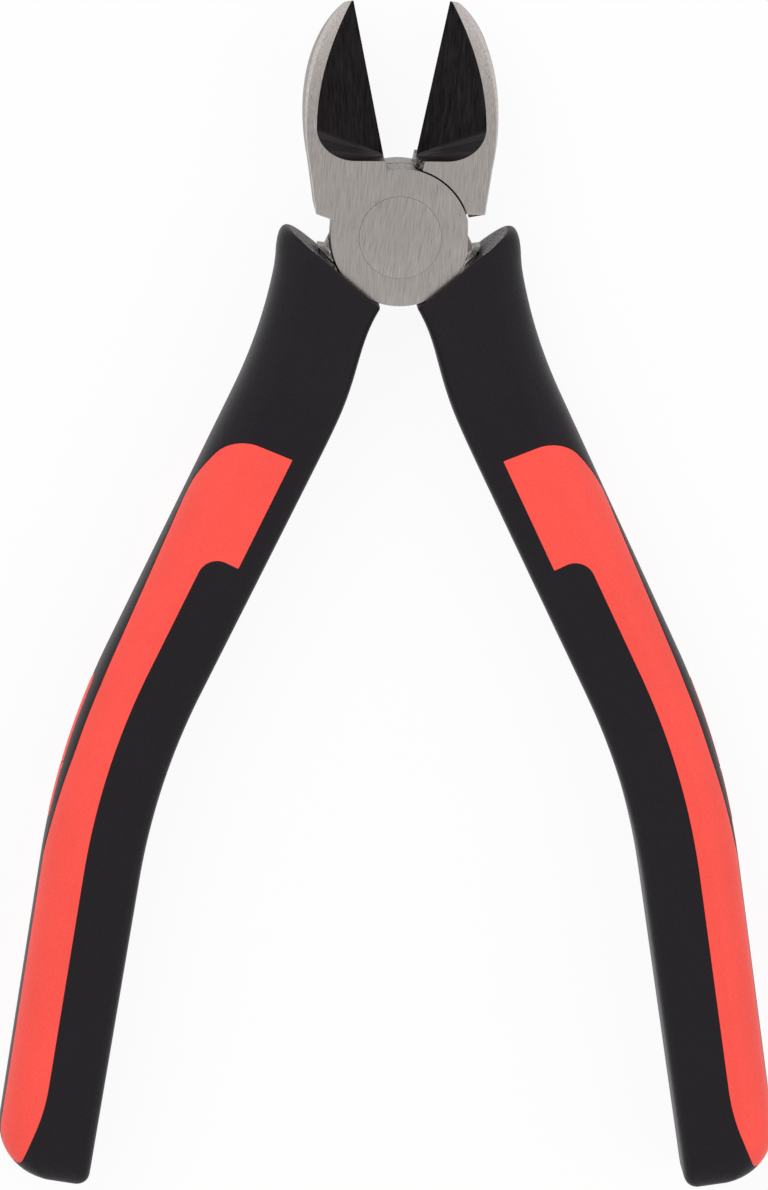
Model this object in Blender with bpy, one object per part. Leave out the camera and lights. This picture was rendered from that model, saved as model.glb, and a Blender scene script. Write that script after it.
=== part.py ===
"""A 160 mm diagonal cutter with two-colour moulded grips, lying flat with its jaws open.

Units are metres. +Y points to the jaw tips and +Z is up through the thickness. The origin is the
centre of the rivet's back face, on the axis that the two levers turn about.

Both levers are one forging, turned over for the other side. A lever and its grip are modelled
closed, in the lever's own frame: u across the tool towards the lever's handle, v along the tool
towards the jaw tips and z through the thickness from the middle plane. The cutting edge lies in
the plane u = 0. Along the handle a place is given by its station, which runs down the handle's
axis from beside the pivot, and by its offset from that axis, positive towards the palm.
"""

import math

import bmesh
import bpy
from mathutils import Vector

# Lap joint
JOINT_THICKNESS = 0.010
LAP_RADIUS = 0.00885
LAP_GAP = 0.0003
LAP_CLEARANCE = 0.0002
REST_OPENING = 23.2  # degrees between the two cutting edges

# Rivet, with a flush head on each face
RIVET_HEAD_RADIUS = 0.00525
RIVET_HEAD_DEPTH = 0.0021
RIVET_SHANK_RADIUS = 0.004
RIVET_CLEARANCE = 0.0001
RIVET_HEAD_OVERLAP = 0.0005

# Jaw: a quarter ellipse outside, a straight cutting edge inside
JAW_REACH = 0.0312
JAW_TIP_BLUNTING = 0.0009
JAW_SHOULDER = 0.011
JAW_WIDTH = 0.0096
JAW_FOOT_WIDTH = 0.00995
JAW_TIP_OVERHANG = 0.0022
JAW_FOOT = 0.00505
JAW_FOOT_ANGLE = 31.0
JAW_FOOT_UNDER_ANGLE = 9.0  # on the side that the other lap covers
JAW_CHAMFER = 0.0003
JAW_TIP_CHAMFER = 0.0006
JAW_TIP_THICKNESS = 0.00054
FACE_TAPER_RADIUS = 0.0434
EDGE_BEVEL_ANGLE = 30.7
EDGE_LAND = 0.0002
EDGE_CLEARANCE = 0.00005
RECESS_FOOT = 0.0100
RECESS_FOOT_TILT = 11.6
RECESS_CORNER_RADIUS = 0.0057
RECESS_OVERRUN = 0.0003
THROAT_RELIEF_WIDTH = 0.0010
THROAT_RELIEF_DEPTH = 0.0020

# Handle axis: a straight upper run, a bend and a straight lower run that toes in
AXIS_OFFSET = 0.0033
UPPER_SPLAY = 13.9
UPPER_RUN = 0.064
BEND_RADIUS = 0.0915
LOWER_TOE = 3.1
LOWER_RUN = 0.0406

# Grip, from the tang outwards: core, skin
FIT_GAP = 0.0003
CORE_WALL = 0.001
SKIN_WALL = 0.00195
GRIP_WIDTH_TOP = 0.0137
GRIP_WIDTH_END = 0.0123
PALM_ROUNDNESS = 2.8
FINGER_ROUNDNESS = 8.0
FACE_FLATNESS = 0.97

# Collar: the slanted upper end of the grip, with an ear on the palm side as a thumb stop
COLLAR_SETBACK = 0.00845
COLLAR_SLANT = 28.5
COLLAR_SLANT_FADE = 0.022
EAR_FLARE = 0.0042
EAR_LENGTH = 0.020
EAR_HOLLOW = 2.2  # power of the fade, 1 for a straight flank
EAR_RADIUS = 0.003
COLLAR_EDGE_RADIUS = 0.0004
COLLAR_FACE_DROP = 0.00125  # how far each face sinks towards the joint
COLLAR_FACE_FADE = 0.016
NECK_PINCH = 0.0017
NECK_PINCH_CENTRE = 0.010
NECK_PINCH_LENGTH = 0.0085

# Tail: the lower end of the grip
TAIL_PALM_RADIUS = 0.0065
TAIL_FINGER_RADIUS = 0.0012
TAIL_FACE_RADIUS = 0.003
TAIL_WALL = 0.0035

# Tang inside the grip
TANG_ROOT_STATION = 0.0009
TANG_ROOT_LENGTH = 0.012
TANG_SHOULDER_LENGTH = 0.008
TANG_END_WALL = 0.022
TANG_TAPER = 0.0012
TANG_FACE_STEP = 0.00005  # how far the tang lies under the joint's face
TANG_STOP = 0.0012  # a shoulder on the palm side, just above the collar
TANG_STOP_STATION = 0.0062
TANG_STOP_LENGTH = 0.0010

# Inlays on the front and back faces: a wide pad above a narrow strip
INLAY_TOP = 0.0319
INLAY_TOP_LEAN = 0.0005
INLAY_STEP = 0.0470
INLAY_TAIL_MARGIN = 0.0018
INLAY_UPPER_RIM = 0.0001
INLAY_BEND_RIM = 0.00085
INLAY_LOWER_RIM = 0.0001
INLAY_RIM_RADIUS = 0.05
INLAY_TOP_RADIUS = 0.0055
INLAY_CORNER_RADIUS = 0.0004
PAD_EDGE = 0.0034
STRIP_EDGE = 0.00095
STRIP_END_EDGE = 0.0029
STRIP_END_RADIUS = 0.0006
STRIP_BEND_RADIUS = 0.018
STRIP_END_LENGTH = 0.0055
STEP_RADIUS = 0.0026

# Raised pad on the spine, the palm side of the bend
SPINE_PAD_STATION = 0.077
SPINE_PAD_LENGTH = 0.018
SPINE_PAD_WIDTH = 0.0034
SPINE_WALL = 0.0005  # skin left between the pad's window and the inlays' windows
SPINE_PAD_RADIUS = 0.0016
SPINE_PAD_RISE = 0.0002
SPINE_GROOVE_PLACE = 0.0025
SPINE_GROOVE_FLOOR = 0.0004
SPINE_GROOVE_DEPTH = 0.0004

# Fineness of the faceted solids
RING_POINTS = 24
ROUND_POINTS = 72
JAW_STEPS = 14
BEND_STEPS = 5
END_STEPS = 4
ARC_STEPS = 5
RAMP_STEPS = 8
OUTLINE_STEP = 0.005
CUT_MARGIN = 0.002
SHARP_ANGLE = 30.0

HALF_THICKNESS = JOINT_THICKNESS / 2
JAW_TIP = JAW_REACH - JAW_TIP_BLUNTING
FACE_TAPER_DROP = HALF_THICKNESS - JAW_TIP_THICKNESS / 2
FACE_TAPER_START = JAW_TIP - math.sqrt(FACE_TAPER_DROP * (2 * FACE_TAPER_RADIUS - FACE_TAPER_DROP))
GRIP_HALF_THICKNESS = HALF_THICKNESS + FIT_GAP + SKIN_WALL
UPPER_ANGLE = math.radians(UPPER_SPLAY)
BEND_ANGLE = math.radians(UPPER_SPLAY + LOWER_TOE)
BEND_END = UPPER_RUN + BEND_RADIUS * BEND_ANGLE
GRIP_END = BEND_END + LOWER_RUN
COLLAR_LEAN = math.radians(COLLAR_SLANT - UPPER_SPLAY)
COLLAR_STATION = (COLLAR_SETBACK - AXIS_OFFSET * math.sin(COLLAR_LEAN)) / math.cos(COLLAR_LEAN)
TANG_ROOT_INSET = SKIN_WALL + FIT_GAP + TANG_FACE_STEP
CORE_INSET = SKIN_WALL + FIT_GAP
TANG_INSET = CORE_INSET + CORE_WALL + FIT_GAP
TANG_END = GRIP_END - TANG_END_WALL
SHANK_START = TANG_ROOT_LENGTH + TANG_SHOULDER_LENGTH
CORE_START = SHANK_START + FIT_GAP
TANG_STOP_END = COLLAR_STATION - FIT_GAP
CAVITY_END = GRIP_END - TAIL_WALL
INLAY_END = GRIP_END - INLAY_TAIL_MARGIN
INLAY_FLOOR = SPINE_PAD_WIDTH / 2 + 2 * FIT_GAP + SPINE_WALL


def clear_scene():
    """Removes every object of the open scene."""
    for obj in list(bpy.data.objects):
        bpy.data.objects.remove(obj)


def finish_material(name, colour, roughness, metallic):
    """Makes a Principled material of one linear colour."""
    material = bpy.data.materials.new(name)
    material.use_nodes = True
    shader = material.node_tree.nodes["Principled BSDF"]
    shader.inputs["Base Color"].default_value = (*colour, 1.0)
    shader.inputs["Roughness"].default_value = roughness
    shader.inputs["Metallic"].default_value = metallic
    return material


def body_from(name, bm):
    """Makes a closed mesh object from a bmesh, with its faces pointing out."""
    bmesh.ops.recalc_face_normals(bm, faces=bm.faces)
    mesh = bpy.data.meshes.new(name)
    bm.to_mesh(mesh)
    bm.free()
    body = bpy.data.objects.new(name, mesh)
    bpy.context.scene.collection.objects.link(body)
    return body


def loft(name, rings):
    """Joins closed rings of equal counts into one solid with flat ends."""
    bm = bmesh.new()
    loops = [[bm.verts.new(point) for point in ring] for ring in rings]
    count = len(loops[0])
    for lower, upper in zip(loops, loops[1:]):
        for i in range(count):
            j = (i + 1) % count
            bm.faces.new((lower[i], lower[j], upper[j], upper[i]))
    ends = [bm.faces.new(loops[0]), bm.faces.new(reversed(loops[-1]))]
    bmesh.ops.triangulate(bm, faces=ends)
    return body_from(name, bm)


def disc(name, radius, bottom, top):
    """Makes a round solid on the pivot axis."""
    angles = [2 * math.pi * i / ROUND_POINTS for i in range(ROUND_POINTS)]
    rim = [(radius * math.cos(a), radius * math.sin(a)) for a in angles]
    return loft(name, [[(u, v, z) for u, v in rim] for z in (bottom, top)])


def combine(body, tool, operation, keep_tool=False):
    """Applies one Boolean of the tool to the body, and deletes the tool unless it is kept."""
    modifier = body.modifiers.new(operation, "BOOLEAN")
    modifier.operation = operation
    modifier.solver = "EXACT"
    modifier.object = tool
    graph = bpy.context.evaluated_depsgraph_get()
    result = bpy.data.meshes.new_from_object(body.evaluated_get(graph))
    body.modifiers.remove(modifier)
    body.data = result
    if not keep_tool:
        bpy.data.objects.remove(tool)
    return body


def copy_of(body, name):
    """Makes a body with a mesh of its own, equal to the given one."""
    twin = bpy.data.objects.new(name, body.data.copy())
    bpy.context.scene.collection.objects.link(twin)
    return twin


def taper(start, end, share):
    """Goes from start to end as share goes from 0 to 1."""
    return start + (end - start) * share


def smooth(share):
    """An eased share, level at 0 and at 1 and held beyond them."""
    share = min(max(share, 0.0), 1.0)
    return share * share * (3 - 2 * share)


def drawn_in(distance, radius):
    """How far a rounded corner of this radius has drawn in, at this distance from the end."""
    run = radius - min(max(distance, 0.0), radius)
    return radius - math.sqrt(radius**2 - run**2)


def rounded(corners):
    """Fillets a closed outline, given as (point, radius) corners, and spaces out its long edges."""
    points = []
    for index, (corner, radius) in enumerate(corners):
        back = (corners[index - 1][0] - corner).normalized()
        ahead = (corners[(index + 1) % len(corners)][0] - corner).normalized()
        half_angle = back.angle(ahead) / 2
        reach = radius / math.tan(half_angle)
        centre = corner + (back + ahead).normalized() * radius / math.sin(half_angle)
        first = corner + back * reach - centre
        last = corner + ahead * reach - centre
        sweep = first.angle_signed(last)
        for step in range(ARC_STEPS + 1):
            angle = -sweep * step / ARC_STEPS
            turn = complex(math.cos(angle), math.sin(angle)) * complex(first.x, first.y)
            points.append(centre + Vector((turn.real, turn.imag)))
    spaced = []
    for index, point in enumerate(points):
        ahead = points[(index + 1) % len(points)]
        pieces = math.ceil((ahead - point).length / OUTLINE_STEP)
        spaced += [point.lerp(ahead, piece / pieces) for piece in range(pieces)]
    return spaced


def handle_point(station, offset, z):
    """A point of the lever's frame from its station and offset on the handle's axis."""
    angle = UPPER_ANGLE
    foot = AXIS_OFFSET
    run = min(station, UPPER_RUN)
    u = foot * math.cos(angle) + run * math.sin(angle)
    v = foot * math.sin(angle) - run * math.cos(angle)
    if station > UPPER_RUN:
        turned = min((station - UPPER_RUN) / BEND_RADIUS, BEND_ANGLE)
        left = station - UPPER_RUN - turned * BEND_RADIUS
        angle = UPPER_ANGLE - turned
        u += BEND_RADIUS * (math.cos(angle) - math.cos(UPPER_ANGLE)) + left * math.sin(angle)
        v += BEND_RADIUS * (math.sin(angle) - math.sin(UPPER_ANGLE)) - left * math.cos(angle)
    return Vector((u + offset * math.cos(angle), v + offset * math.sin(angle), z))


def half_width(station):
    """Half the grip's width at a station, without the ear and the pinched neck."""
    return taper(GRIP_WIDTH_TOP, GRIP_WIDTH_END, station / GRIP_END) / 2


def pinch(station):
    """How far the finger side of the grip draws in beside the joint."""
    return NECK_PINCH * math.exp(-(((station - NECK_PINCH_CENTRE) / NECK_PINCH_LENGTH) ** 2))


def ear(station):
    """How far the palm side of the grip flares out towards the collar."""
    share = (station - COLLAR_STATION) / EAR_LENGTH
    return EAR_FLARE * max(0.0, 1 - share) ** EAR_HOLLOW


def face_drop(station):
    """How far each face of the grip sinks towards the collar, to lie low on the joint."""
    return COLLAR_FACE_DROP * (1 - smooth((station - COLLAR_STATION) / COLLAR_FACE_FADE))


def ring(station, finger, palm, half_thickness):
    """A closed section across the handle, flat on both faces and rounder on the palm side.

    Towards the collar the section leans until it lies parallel to the collar's end.
    """
    lean = math.tan(COLLAR_LEAN) * (1 - smooth((station - COLLAR_STATION) / COLLAR_SLANT_FADE))
    middle = (palm + finger) / 2
    reach = (palm - finger) / 2
    points = []
    for i in range(RING_POINTS):
        angle = 2 * math.pi * (i + 0.5) / RING_POINTS
        power = 2 / (PALM_ROUNDNESS if math.cos(angle) > 0 else FINGER_ROUNDNESS)
        across = math.copysign(abs(math.cos(angle)) ** power, math.cos(angle))
        rise = math.copysign(abs(math.sin(angle)) ** power, math.sin(angle)) / FACE_FLATNESS
        offset = middle + reach * across
        z = half_thickness * min(max(rise, -1.0), 1.0)
        points.append(handle_point(station - lean * offset, offset, z))
    return points


def inner_ring(station, inset, stop=0.0):
    """A section of the cavity, core or tang, inset from the grip's plain outline."""
    reach = half_width(station) - inset
    return ring(station, pinch(station) - reach, reach + stop, GRIP_HALF_THICKNESS - inset)


def outer_ring(station, rise):
    """A section of the grip's outside, with its ear, rounded ends and an overall rise."""
    collar = (station - COLLAR_STATION) * math.cos(COLLAR_LEAN)
    tail = GRIP_END - station
    palm = half_width(station) + ear(station)
    palm -= drawn_in(collar, EAR_RADIUS) + drawn_in(tail, TAIL_PALM_RADIUS)
    finger = pinch(station) - half_width(station)
    finger += drawn_in(collar, COLLAR_EDGE_RADIUS) + drawn_in(tail, TAIL_FINGER_RADIUS)
    face = GRIP_HALF_THICKNESS - face_drop(station)
    face -= drawn_in(collar, COLLAR_EDGE_RADIUS) + drawn_in(tail, TAIL_FACE_RADIUS)
    return ring(station, finger - rise, palm + rise, face + rise)


def stations(start, end):
    """Stations down the handle between two ends, closer where the collar and the bend curve."""
    flare = [COLLAR_STATION + COLLAR_SLANT_FADE * k / BEND_STEPS for k in range(1, BEND_STEPS + 1)]
    straight = [(COLLAR_STATION + COLLAR_SLANT_FADE + UPPER_RUN) / 2]
    bend = [taper(UPPER_RUN, BEND_END, k / BEND_STEPS) for k in range(BEND_STEPS + 1)]
    return [start, *(s for s in flare + straight + bend if start < s < end), end]


def grip_outside(name, rise=0.0):
    """The whole outside of a grip as one solid, from the collar's end to the tail."""
    steps = [math.pi / 2 * k / END_STEPS for k in range(END_STEPS)]
    collar = [COLLAR_STATION + EAR_RADIUS * (1 - math.cos(a)) for a in steps]
    tail = [GRIP_END - TAIL_PALM_RADIUS * (1 - math.sin(a)) for a in (0.0, *steps[1:])]
    middle = stations(collar[-1] + EAR_RADIUS / 2, tail[0])
    return loft(name, [outer_ring(s, rise) for s in (*collar, *middle, *tail[1:], GRIP_END)])


def grip_cavity(name):
    """The room inside a grip's skin, open at the collar."""
    start = COLLAR_STATION - CUT_MARGIN
    return loft(name, [inner_ring(s, SKIN_WALL) for s in stations(start, CAVITY_END)])


def tang_inset(station):
    """How far the tang lies inside the grip: full at the root, slim past its shoulder."""
    share = smooth((station - TANG_ROOT_LENGTH) / TANG_SHOULDER_LENGTH)
    slim = TANG_TAPER * max(0.0, station - SHANK_START) / (TANG_END - SHANK_START)
    return taper(TANG_ROOT_INSET, TANG_INSET, share) + slim


def tang_stop(station):
    """How far the tang's palm side stands out, just above the collar that it stops."""
    if station > TANG_STOP_END - FIT_GAP:
        return 0.0
    return TANG_STOP * smooth((station - TANG_STOP_STATION) / TANG_STOP_LENGTH)


def tang(name, start, end, grow):
    """The tang from one station to another, grown all round for the bore that takes it."""
    steps = [TANG_STOP_STATION + TANG_STOP_LENGTH * share for share in (0.0, 0.5, 1.0)]
    steps += [TANG_STOP_END - FIT_GAP, TANG_STOP_END]
    steps += [TANG_ROOT_LENGTH, TANG_ROOT_LENGTH + TANG_SHOULDER_LENGTH / 2, SHANK_START]
    places = sorted({*stations(start, end), *(s for s in steps if start < s < end)})
    return loft(name, [inner_ring(s, tang_inset(s) - grow, tang_stop(s)) for s in places])


def inlay_outline(grow):
    """The outline of a face inlay as (station, offset), grown all round by a gap."""
    palm_top = half_width(INLAY_TOP) - INLAY_UPPER_RIM + grow
    palm_bend = half_width(SPINE_PAD_STATION) - INLAY_BEND_RIM + grow
    palm_lower = half_width(BEND_END) - INLAY_LOWER_RIM + grow
    palm_end = half_width(INLAY_END) - INLAY_LOWER_RIM + grow
    outer = INLAY_CORNER_RADIUS + grow
    corners = [
        (INLAY_TOP - INLAY_TOP_LEAN - grow, -PAD_EDGE - grow, outer),
        (INLAY_TOP - grow, palm_top, INLAY_TOP_RADIUS + grow),
        (SPINE_PAD_STATION - SPINE_PAD_LENGTH / 2, palm_bend, INLAY_RIM_RADIUS),
        (SPINE_PAD_STATION, palm_bend, INLAY_RIM_RADIUS),
        (BEND_END, palm_lower, INLAY_RIM_RADIUS),
        (INLAY_END + grow, palm_end, outer),
        (INLAY_END + grow, STRIP_END_EDGE - grow, STRIP_END_RADIUS + grow),
        (INLAY_END - STRIP_END_LENGTH, STRIP_EDGE - grow, STRIP_BEND_RADIUS),
        (INLAY_STEP + grow, STRIP_EDGE - grow, STEP_RADIUS - grow),
        (INLAY_STEP + grow, -PAD_EDGE - grow, outer),
    ]
    return rounded([(Vector((station, offset)), radius) for station, offset, radius in corners])


def inlay_prism(name, side, grow):
    """The room of a face inlay, from its floor out past the grip's face on one side."""
    outline = inlay_outline(grow)
    floor = side * (INLAY_FLOOR - grow)
    sky = side * (GRIP_HALF_THICKNESS + CUT_MARGIN)
    return loft(name, [[handle_point(s, d, z) for s, d in outline] for z in (floor, sky)])


def spine_prism(name, grow):
    """The room of the spine pad, from inside the cavity out past the palm side."""
    half_length = SPINE_PAD_LENGTH / 2 + grow
    half_height = SPINE_PAD_WIDTH / 2 + grow
    radius = SPINE_PAD_RADIUS + grow
    signs = ((-1, -1), (1, -1), (1, 1), (-1, 1))
    outline = rounded([(Vector((a * half_length, b * half_height)), radius) for a, b in signs])
    inside = half_width(SPINE_PAD_STATION) - SKIN_WALL - CUT_MARGIN
    outside = half_width(SPINE_PAD_STATION) + SPINE_PAD_RISE + CUT_MARGIN
    rings = []
    for offset in (inside, outside):
        rings.append([handle_point(SPINE_PAD_STATION + s, offset, z) for s, z in outline])
    return loft(name, rings)


def spine_groove(name):
    """The cutter of the shallow groove that crosses the spine pad, with flanks at 45 degrees."""
    station = SPINE_PAD_STATION + SPINE_GROOVE_PLACE
    floor = half_width(station) + SPINE_PAD_RISE - SPINE_GROOVE_DEPTH
    sky = half_width(station) + SPINE_PAD_RISE + CUT_MARGIN
    half = SPINE_GROOVE_FLOOR / 2
    top = half + sky - floor
    corners = ((-half, floor), (half, floor), (top, sky), (-top, sky))
    ends = (-SPINE_PAD_WIDTH, SPINE_PAD_WIDTH)
    return loft(name, [[handle_point(station + s, d, z) for s, d in corners] for z in ends])


def jaw_side(v):
    """The jaw's width at a level: straight up to the shoulder, then elliptic."""
    if v < JAW_SHOULDER:
        return taper(JAW_FOOT_WIDTH, JAW_WIDTH, (v - JAW_FOOT) / (JAW_SHOULDER - JAW_FOOT))
    share = (v - JAW_SHOULDER) / (JAW_REACH - JAW_SHOULDER)
    return (JAW_WIDTH + JAW_TIP_OVERHANG) * math.sqrt(1 - share**2) - JAW_TIP_OVERHANG


def jaw_half(v):
    """Half the jaw's thickness at a level, on an arc that starts flush with the joint's face."""
    return HALF_THICKNESS - drawn_in(FACE_TAPER_RADIUS + FACE_TAPER_START - v, FACE_TAPER_RADIUS)


def jaw_foot(u, z):
    """The level of the jaw's foot, which is steeper on the lap's side than on the side below it."""
    steep = math.tan(math.radians(JAW_FOOT_ANGLE))
    shallow = math.tan(math.radians(JAW_FOOT_UNDER_ANGLE))
    slope = taper(shallow, steep, (z + HALF_THICKNESS) / JOINT_THICKNESS)
    return JAW_FOOT - (u + JAW_FOOT_WIDTH) * slope


def jaw_ring(side, half, chamfer, level):
    """The ring of the jaw at one level, which may depend on the place in its section."""
    wall = -EDGE_CLEARANCE
    edge = min(chamfer, half / 2, (side + wall) / 2)
    corners = (
        (wall, -half),
        (edge - side, -half),
        (-side, edge - half),
        (-side, half - edge),
        (edge - side, half),
        (wall, half),
    )
    return [(u, level(u, z), z) for u, z in corners]


def jaw_blank(name):
    """The jaw before its cutting edge is ground: an elliptic side and faces that thin to the tip."""
    rings = [jaw_ring(JAW_FOOT_WIDTH, HALF_THICKNESS, JAW_CHAMFER, jaw_foot)]
    rise = JAW_REACH - JAW_SHOULDER
    top = math.asin((JAW_TIP - JAW_SHOULDER) / rise)
    levels = [JAW_SHOULDER + rise * math.sin(top * k / JAW_STEPS) for k in range(1, JAW_STEPS + 1)]
    for v in sorted([JAW_FOOT + CUT_MARGIN, FACE_TAPER_START, *levels]):
        share = smooth((v - JAW_SHOULDER) / (JAW_TIP - JAW_SHOULDER))
        chamfer = taper(JAW_CHAMFER, JAW_TIP_CHAMFER, share)
        rings.append(jaw_ring(jaw_side(v), jaw_half(v), chamfer, lambda u, z, v=v: v))
    return loft(name, rings)


def edge_recess(name, side):
    """The cutter of one bevel: a flat ground plane, run out by a ramp that fans from the edge's base."""
    slope = math.tan(math.radians(EDGE_BEVEL_ANGLE))
    past = RECESS_OVERRUN
    low = EDGE_LAND / 2 - (past + EDGE_CLEARANCE) * slope
    sky = HALF_THICKNESS + CUT_MARGIN
    far = past - (sky - low) / slope
    tip = JAW_REACH + CUT_MARGIN
    tilt = math.radians(RECESS_FOOT_TILT)
    apex = Vector((past, RECESS_FOOT - past * math.tan(tilt), low))
    radius = RECESS_CORNER_RADIUS
    centre_u = past - (HALF_THICKNESS - low) / slope + radius
    centre_v = RECESS_FOOT + radius / math.cos(tilt) - centre_u * math.tan(tilt)
    angles = [math.pi + (math.pi / 2 - tilt) * step / RAMP_STEPS for step in range(RAMP_STEPS + 1)]
    ramp = [Vector((centre_u + radius * math.cos(a), centre_v + radius * math.sin(a))) for a in angles]
    reach = (sky - low) / (HALF_THICKNESS - low)
    bm = bmesh.new()

    def place(u, v, z):
        """A corner of the cutter, on the jaw's front or back."""
        return bm.verts.new((u, v, side * z))

    base = place(*apex)
    edge_end = place(past, tip, low)
    rim_end = place(far, tip, sky)
    flat = apex.xy
    fan = [place(*(flat + (point - flat) * reach), sky) for point in ramp]
    foot_end = place(past, apex.y, sky)
    tip_top = place(past, tip, sky)
    bm.faces.new((base, edge_end, rim_end, fan[0]))
    for first, second in zip(fan, (*fan[1:], foot_end)):
        bm.faces.new((base, first, second))
    bm.faces.new((base, foot_end, tip_top, edge_end))
    bm.faces.new((edge_end, tip_top, rim_end))
    bm.faces.new((rim_end, tip_top, foot_end, *reversed(fan)))
    return body_from(name, bm)


def throat_relief(name):
    """The cutter that breaks the throat's corner on the side that the other lap covers."""
    past = CUT_MARGIN
    slope = THROAT_RELIEF_DEPTH / THROAT_RELIEF_WIDTH
    under = -HALF_THICKNESS - past
    wide = THROAT_RELIEF_WIDTH + past / slope
    corners = ((-wide, under), (past, under), (past, THROAT_RELIEF_DEPTH + past * slope - HALF_THICKNESS))
    levels = (LAP_RADIUS - past, RECESS_FOOT + THROAT_RELIEF_WIDTH)
    return loft(name, [[(u, v, z) for u, z in corners] for v in levels])


def lever(name):
    """One forging: a jaw with its cutting edge, half a lap joint and a tang."""
    body = jaw_blank(name)
    for side in (-1, 1):
        combine(body, edge_recess("edge recess", side), "DIFFERENCE")
    combine(body, throat_relief("throat relief"), "DIFFERENCE")
    combine(body, tang("tang", TANG_ROOT_STATION, TANG_END, 0.0), "UNION")
    lap_face = LAP_GAP / 2
    room = disc("lap room", LAP_RADIUS + LAP_CLEARANCE, -HALF_THICKNESS - CUT_MARGIN, lap_face)
    combine(body, room, "DIFFERENCE")
    combine(body, disc("lap", LAP_RADIUS, lap_face, HALF_THICKNESS), "UNION")
    bore = disc("bore", RIVET_SHANK_RADIUS + RIVET_CLEARANCE, -HALF_THICKNESS, JOINT_THICKNESS)
    combine(body, bore, "DIFFERENCE")
    seat = HALF_THICKNESS - RIVET_HEAD_DEPTH - RIVET_CLEARANCE
    head_room = disc("head room", RIVET_HEAD_RADIUS + RIVET_CLEARANCE, seat, JOINT_THICKNESS)
    return combine(body, head_room, "DIFFERENCE")


def rivet(name):
    """The pivot: a shank through both laps with a flush head at each end."""
    neck = HALF_THICKNESS - RIVET_HEAD_DEPTH
    shank = neck + RIVET_HEAD_OVERLAP
    body = disc(name, RIVET_SHANK_RADIUS, -shank, shank)
    combine(body, disc("front head", RIVET_HEAD_RADIUS, neck, HALF_THICKNESS), "UNION")
    return combine(body, disc("back head", RIVET_HEAD_RADIUS, -HALF_THICKNESS, -neck), "UNION")


def grip_core(name):
    """The hard liner between the tang and the skin, open at the top for the tang."""
    places = stations(CORE_START, CAVITY_END - FIT_GAP)
    body = loft(name, [inner_ring(s, CORE_INSET) for s in places])
    bore = tang("tang bore", CORE_START - CUT_MARGIN, TANG_END + FIT_GAP, FIT_GAP)
    return combine(body, bore, "DIFFERENCE")


def grip_shell(name, rise=0.0):
    """A grip's outside hollowed for its core, and cleared for the joint that turns beside it."""
    body = combine(grip_outside(name, rise), grip_cavity("cavity"), "DIFFERENCE")
    lip = HALF_THICKNESS + FIT_GAP
    room = disc("joint room", LAP_RADIUS + LAP_CLEARANCE, -lip, lip)
    return combine(body, room, "DIFFERENCE")


def grip_skin(name, shell):
    """The soft skin: the shell with windows for its inlays and its spine pad."""
    body = copy_of(shell, name)
    for side in (-1, 1):
        combine(body, inlay_prism("inlay window", side, FIT_GAP), "DIFFERENCE")
    return combine(body, spine_prism("spine window", FIT_GAP), "DIFFERENCE")


def face_inlay(name, shell, side):
    """A face inlay: the part of the shell that fills one window."""
    return combine(copy_of(shell, name), inlay_prism("inlay room", side, 0.0), "INTERSECT")


def spine_pad(name):
    """The raised pad that fills the spine's window, crossed by one groove."""
    body = combine(grip_shell(name, SPINE_PAD_RISE), spine_prism("pad room", 0.0), "INTERSECT")
    return combine(body, spine_groove("groove"), "DIFFERENCE")


def lever_axis(name, turned_over, angle):
    """An empty on the pivot axis, in the joint's middle plane, which carries one lever."""
    axis = bpy.data.objects.new(name, None)
    axis.location = (0.0, 0.0, HALF_THICKNESS)
    axis.rotation_euler = (0.0, math.pi if turned_over else 0.0, angle)
    bpy.context.scene.collection.objects.link(axis)
    return axis


def dress(body, axis, material):
    """Hangs a finished body on its lever's axis, with its material and smooth round sides."""
    body.parent = axis
    body.data.materials.clear()
    body.data.materials.append(material)
    body.data.shade_smooth()
    body.data.set_sharp_from_angle(angle=math.radians(SHARP_ANGLE))


def main():
    """Models the front lever's side once, and turns copies over for the rear lever's side."""
    clear_scene()
    steel = finish_material("ground tool steel", (0.32, 0.31, 0.30), 0.34, 1.0)
    black = finish_material("black elastomer", (0.022, 0.020, 0.023), 0.62, 0.0)
    red = finish_material("red elastomer", (0.90, 0.10, 0.075), 0.5, 0.0)
    liner = finish_material("dark polypropylene", (0.05, 0.05, 0.055), 0.55, 0.0)

    half_opening = math.radians(REST_OPENING / 2)
    front_axis = lever_axis("front_lever_axis", False, half_opening)
    rear_axis = lever_axis("rear_lever_axis", True, -half_opening)

    shell = grip_shell("grip shell")
    pieces = [
        (lever("front_lever"), "rear_lever", steel),
        (grip_core("right_grip_core"), "left_grip_core", liner),
        (grip_skin("right_grip_skin", shell), "left_grip_skin", black),
        (face_inlay("right_inlay_front", shell, 1), "left_inlay_back", red),
        (face_inlay("right_inlay_back", shell, -1), "left_inlay_front", red),
        (spine_pad("right_spine_pad"), "left_spine_pad", red),
    ]
    bpy.data.objects.remove(shell)
    for piece, twin_name, material in pieces:
        dress(piece, front_axis, material)
        twin = bpy.data.objects.new(twin_name, piece.data)
        twin.parent = rear_axis
        bpy.context.scene.collection.objects.link(twin)
    dress(rivet("pivot_rivet"), front_axis, steel)


if __name__ == "__main__":
    main()
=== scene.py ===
"""The looks of a 160 mm diagonal cutter: a ground steel head on two-colour moulded grips.

Units are metres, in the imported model's frame: +Y points to the jaw tips, +Z is up through the
thickness, and the pivot axis passes through the origin. A half of the tool is modelled closed, in
its lever's own frame, and then turned to its place: u across the tool towards the lever's handle,
v along the tool to the jaw tips and z from the joint's middle plane. Along the handle a place is
given by its station, down the handle's axis from beside the pivot, and by its offset from that
axis, positive towards the palm.
"""

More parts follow.
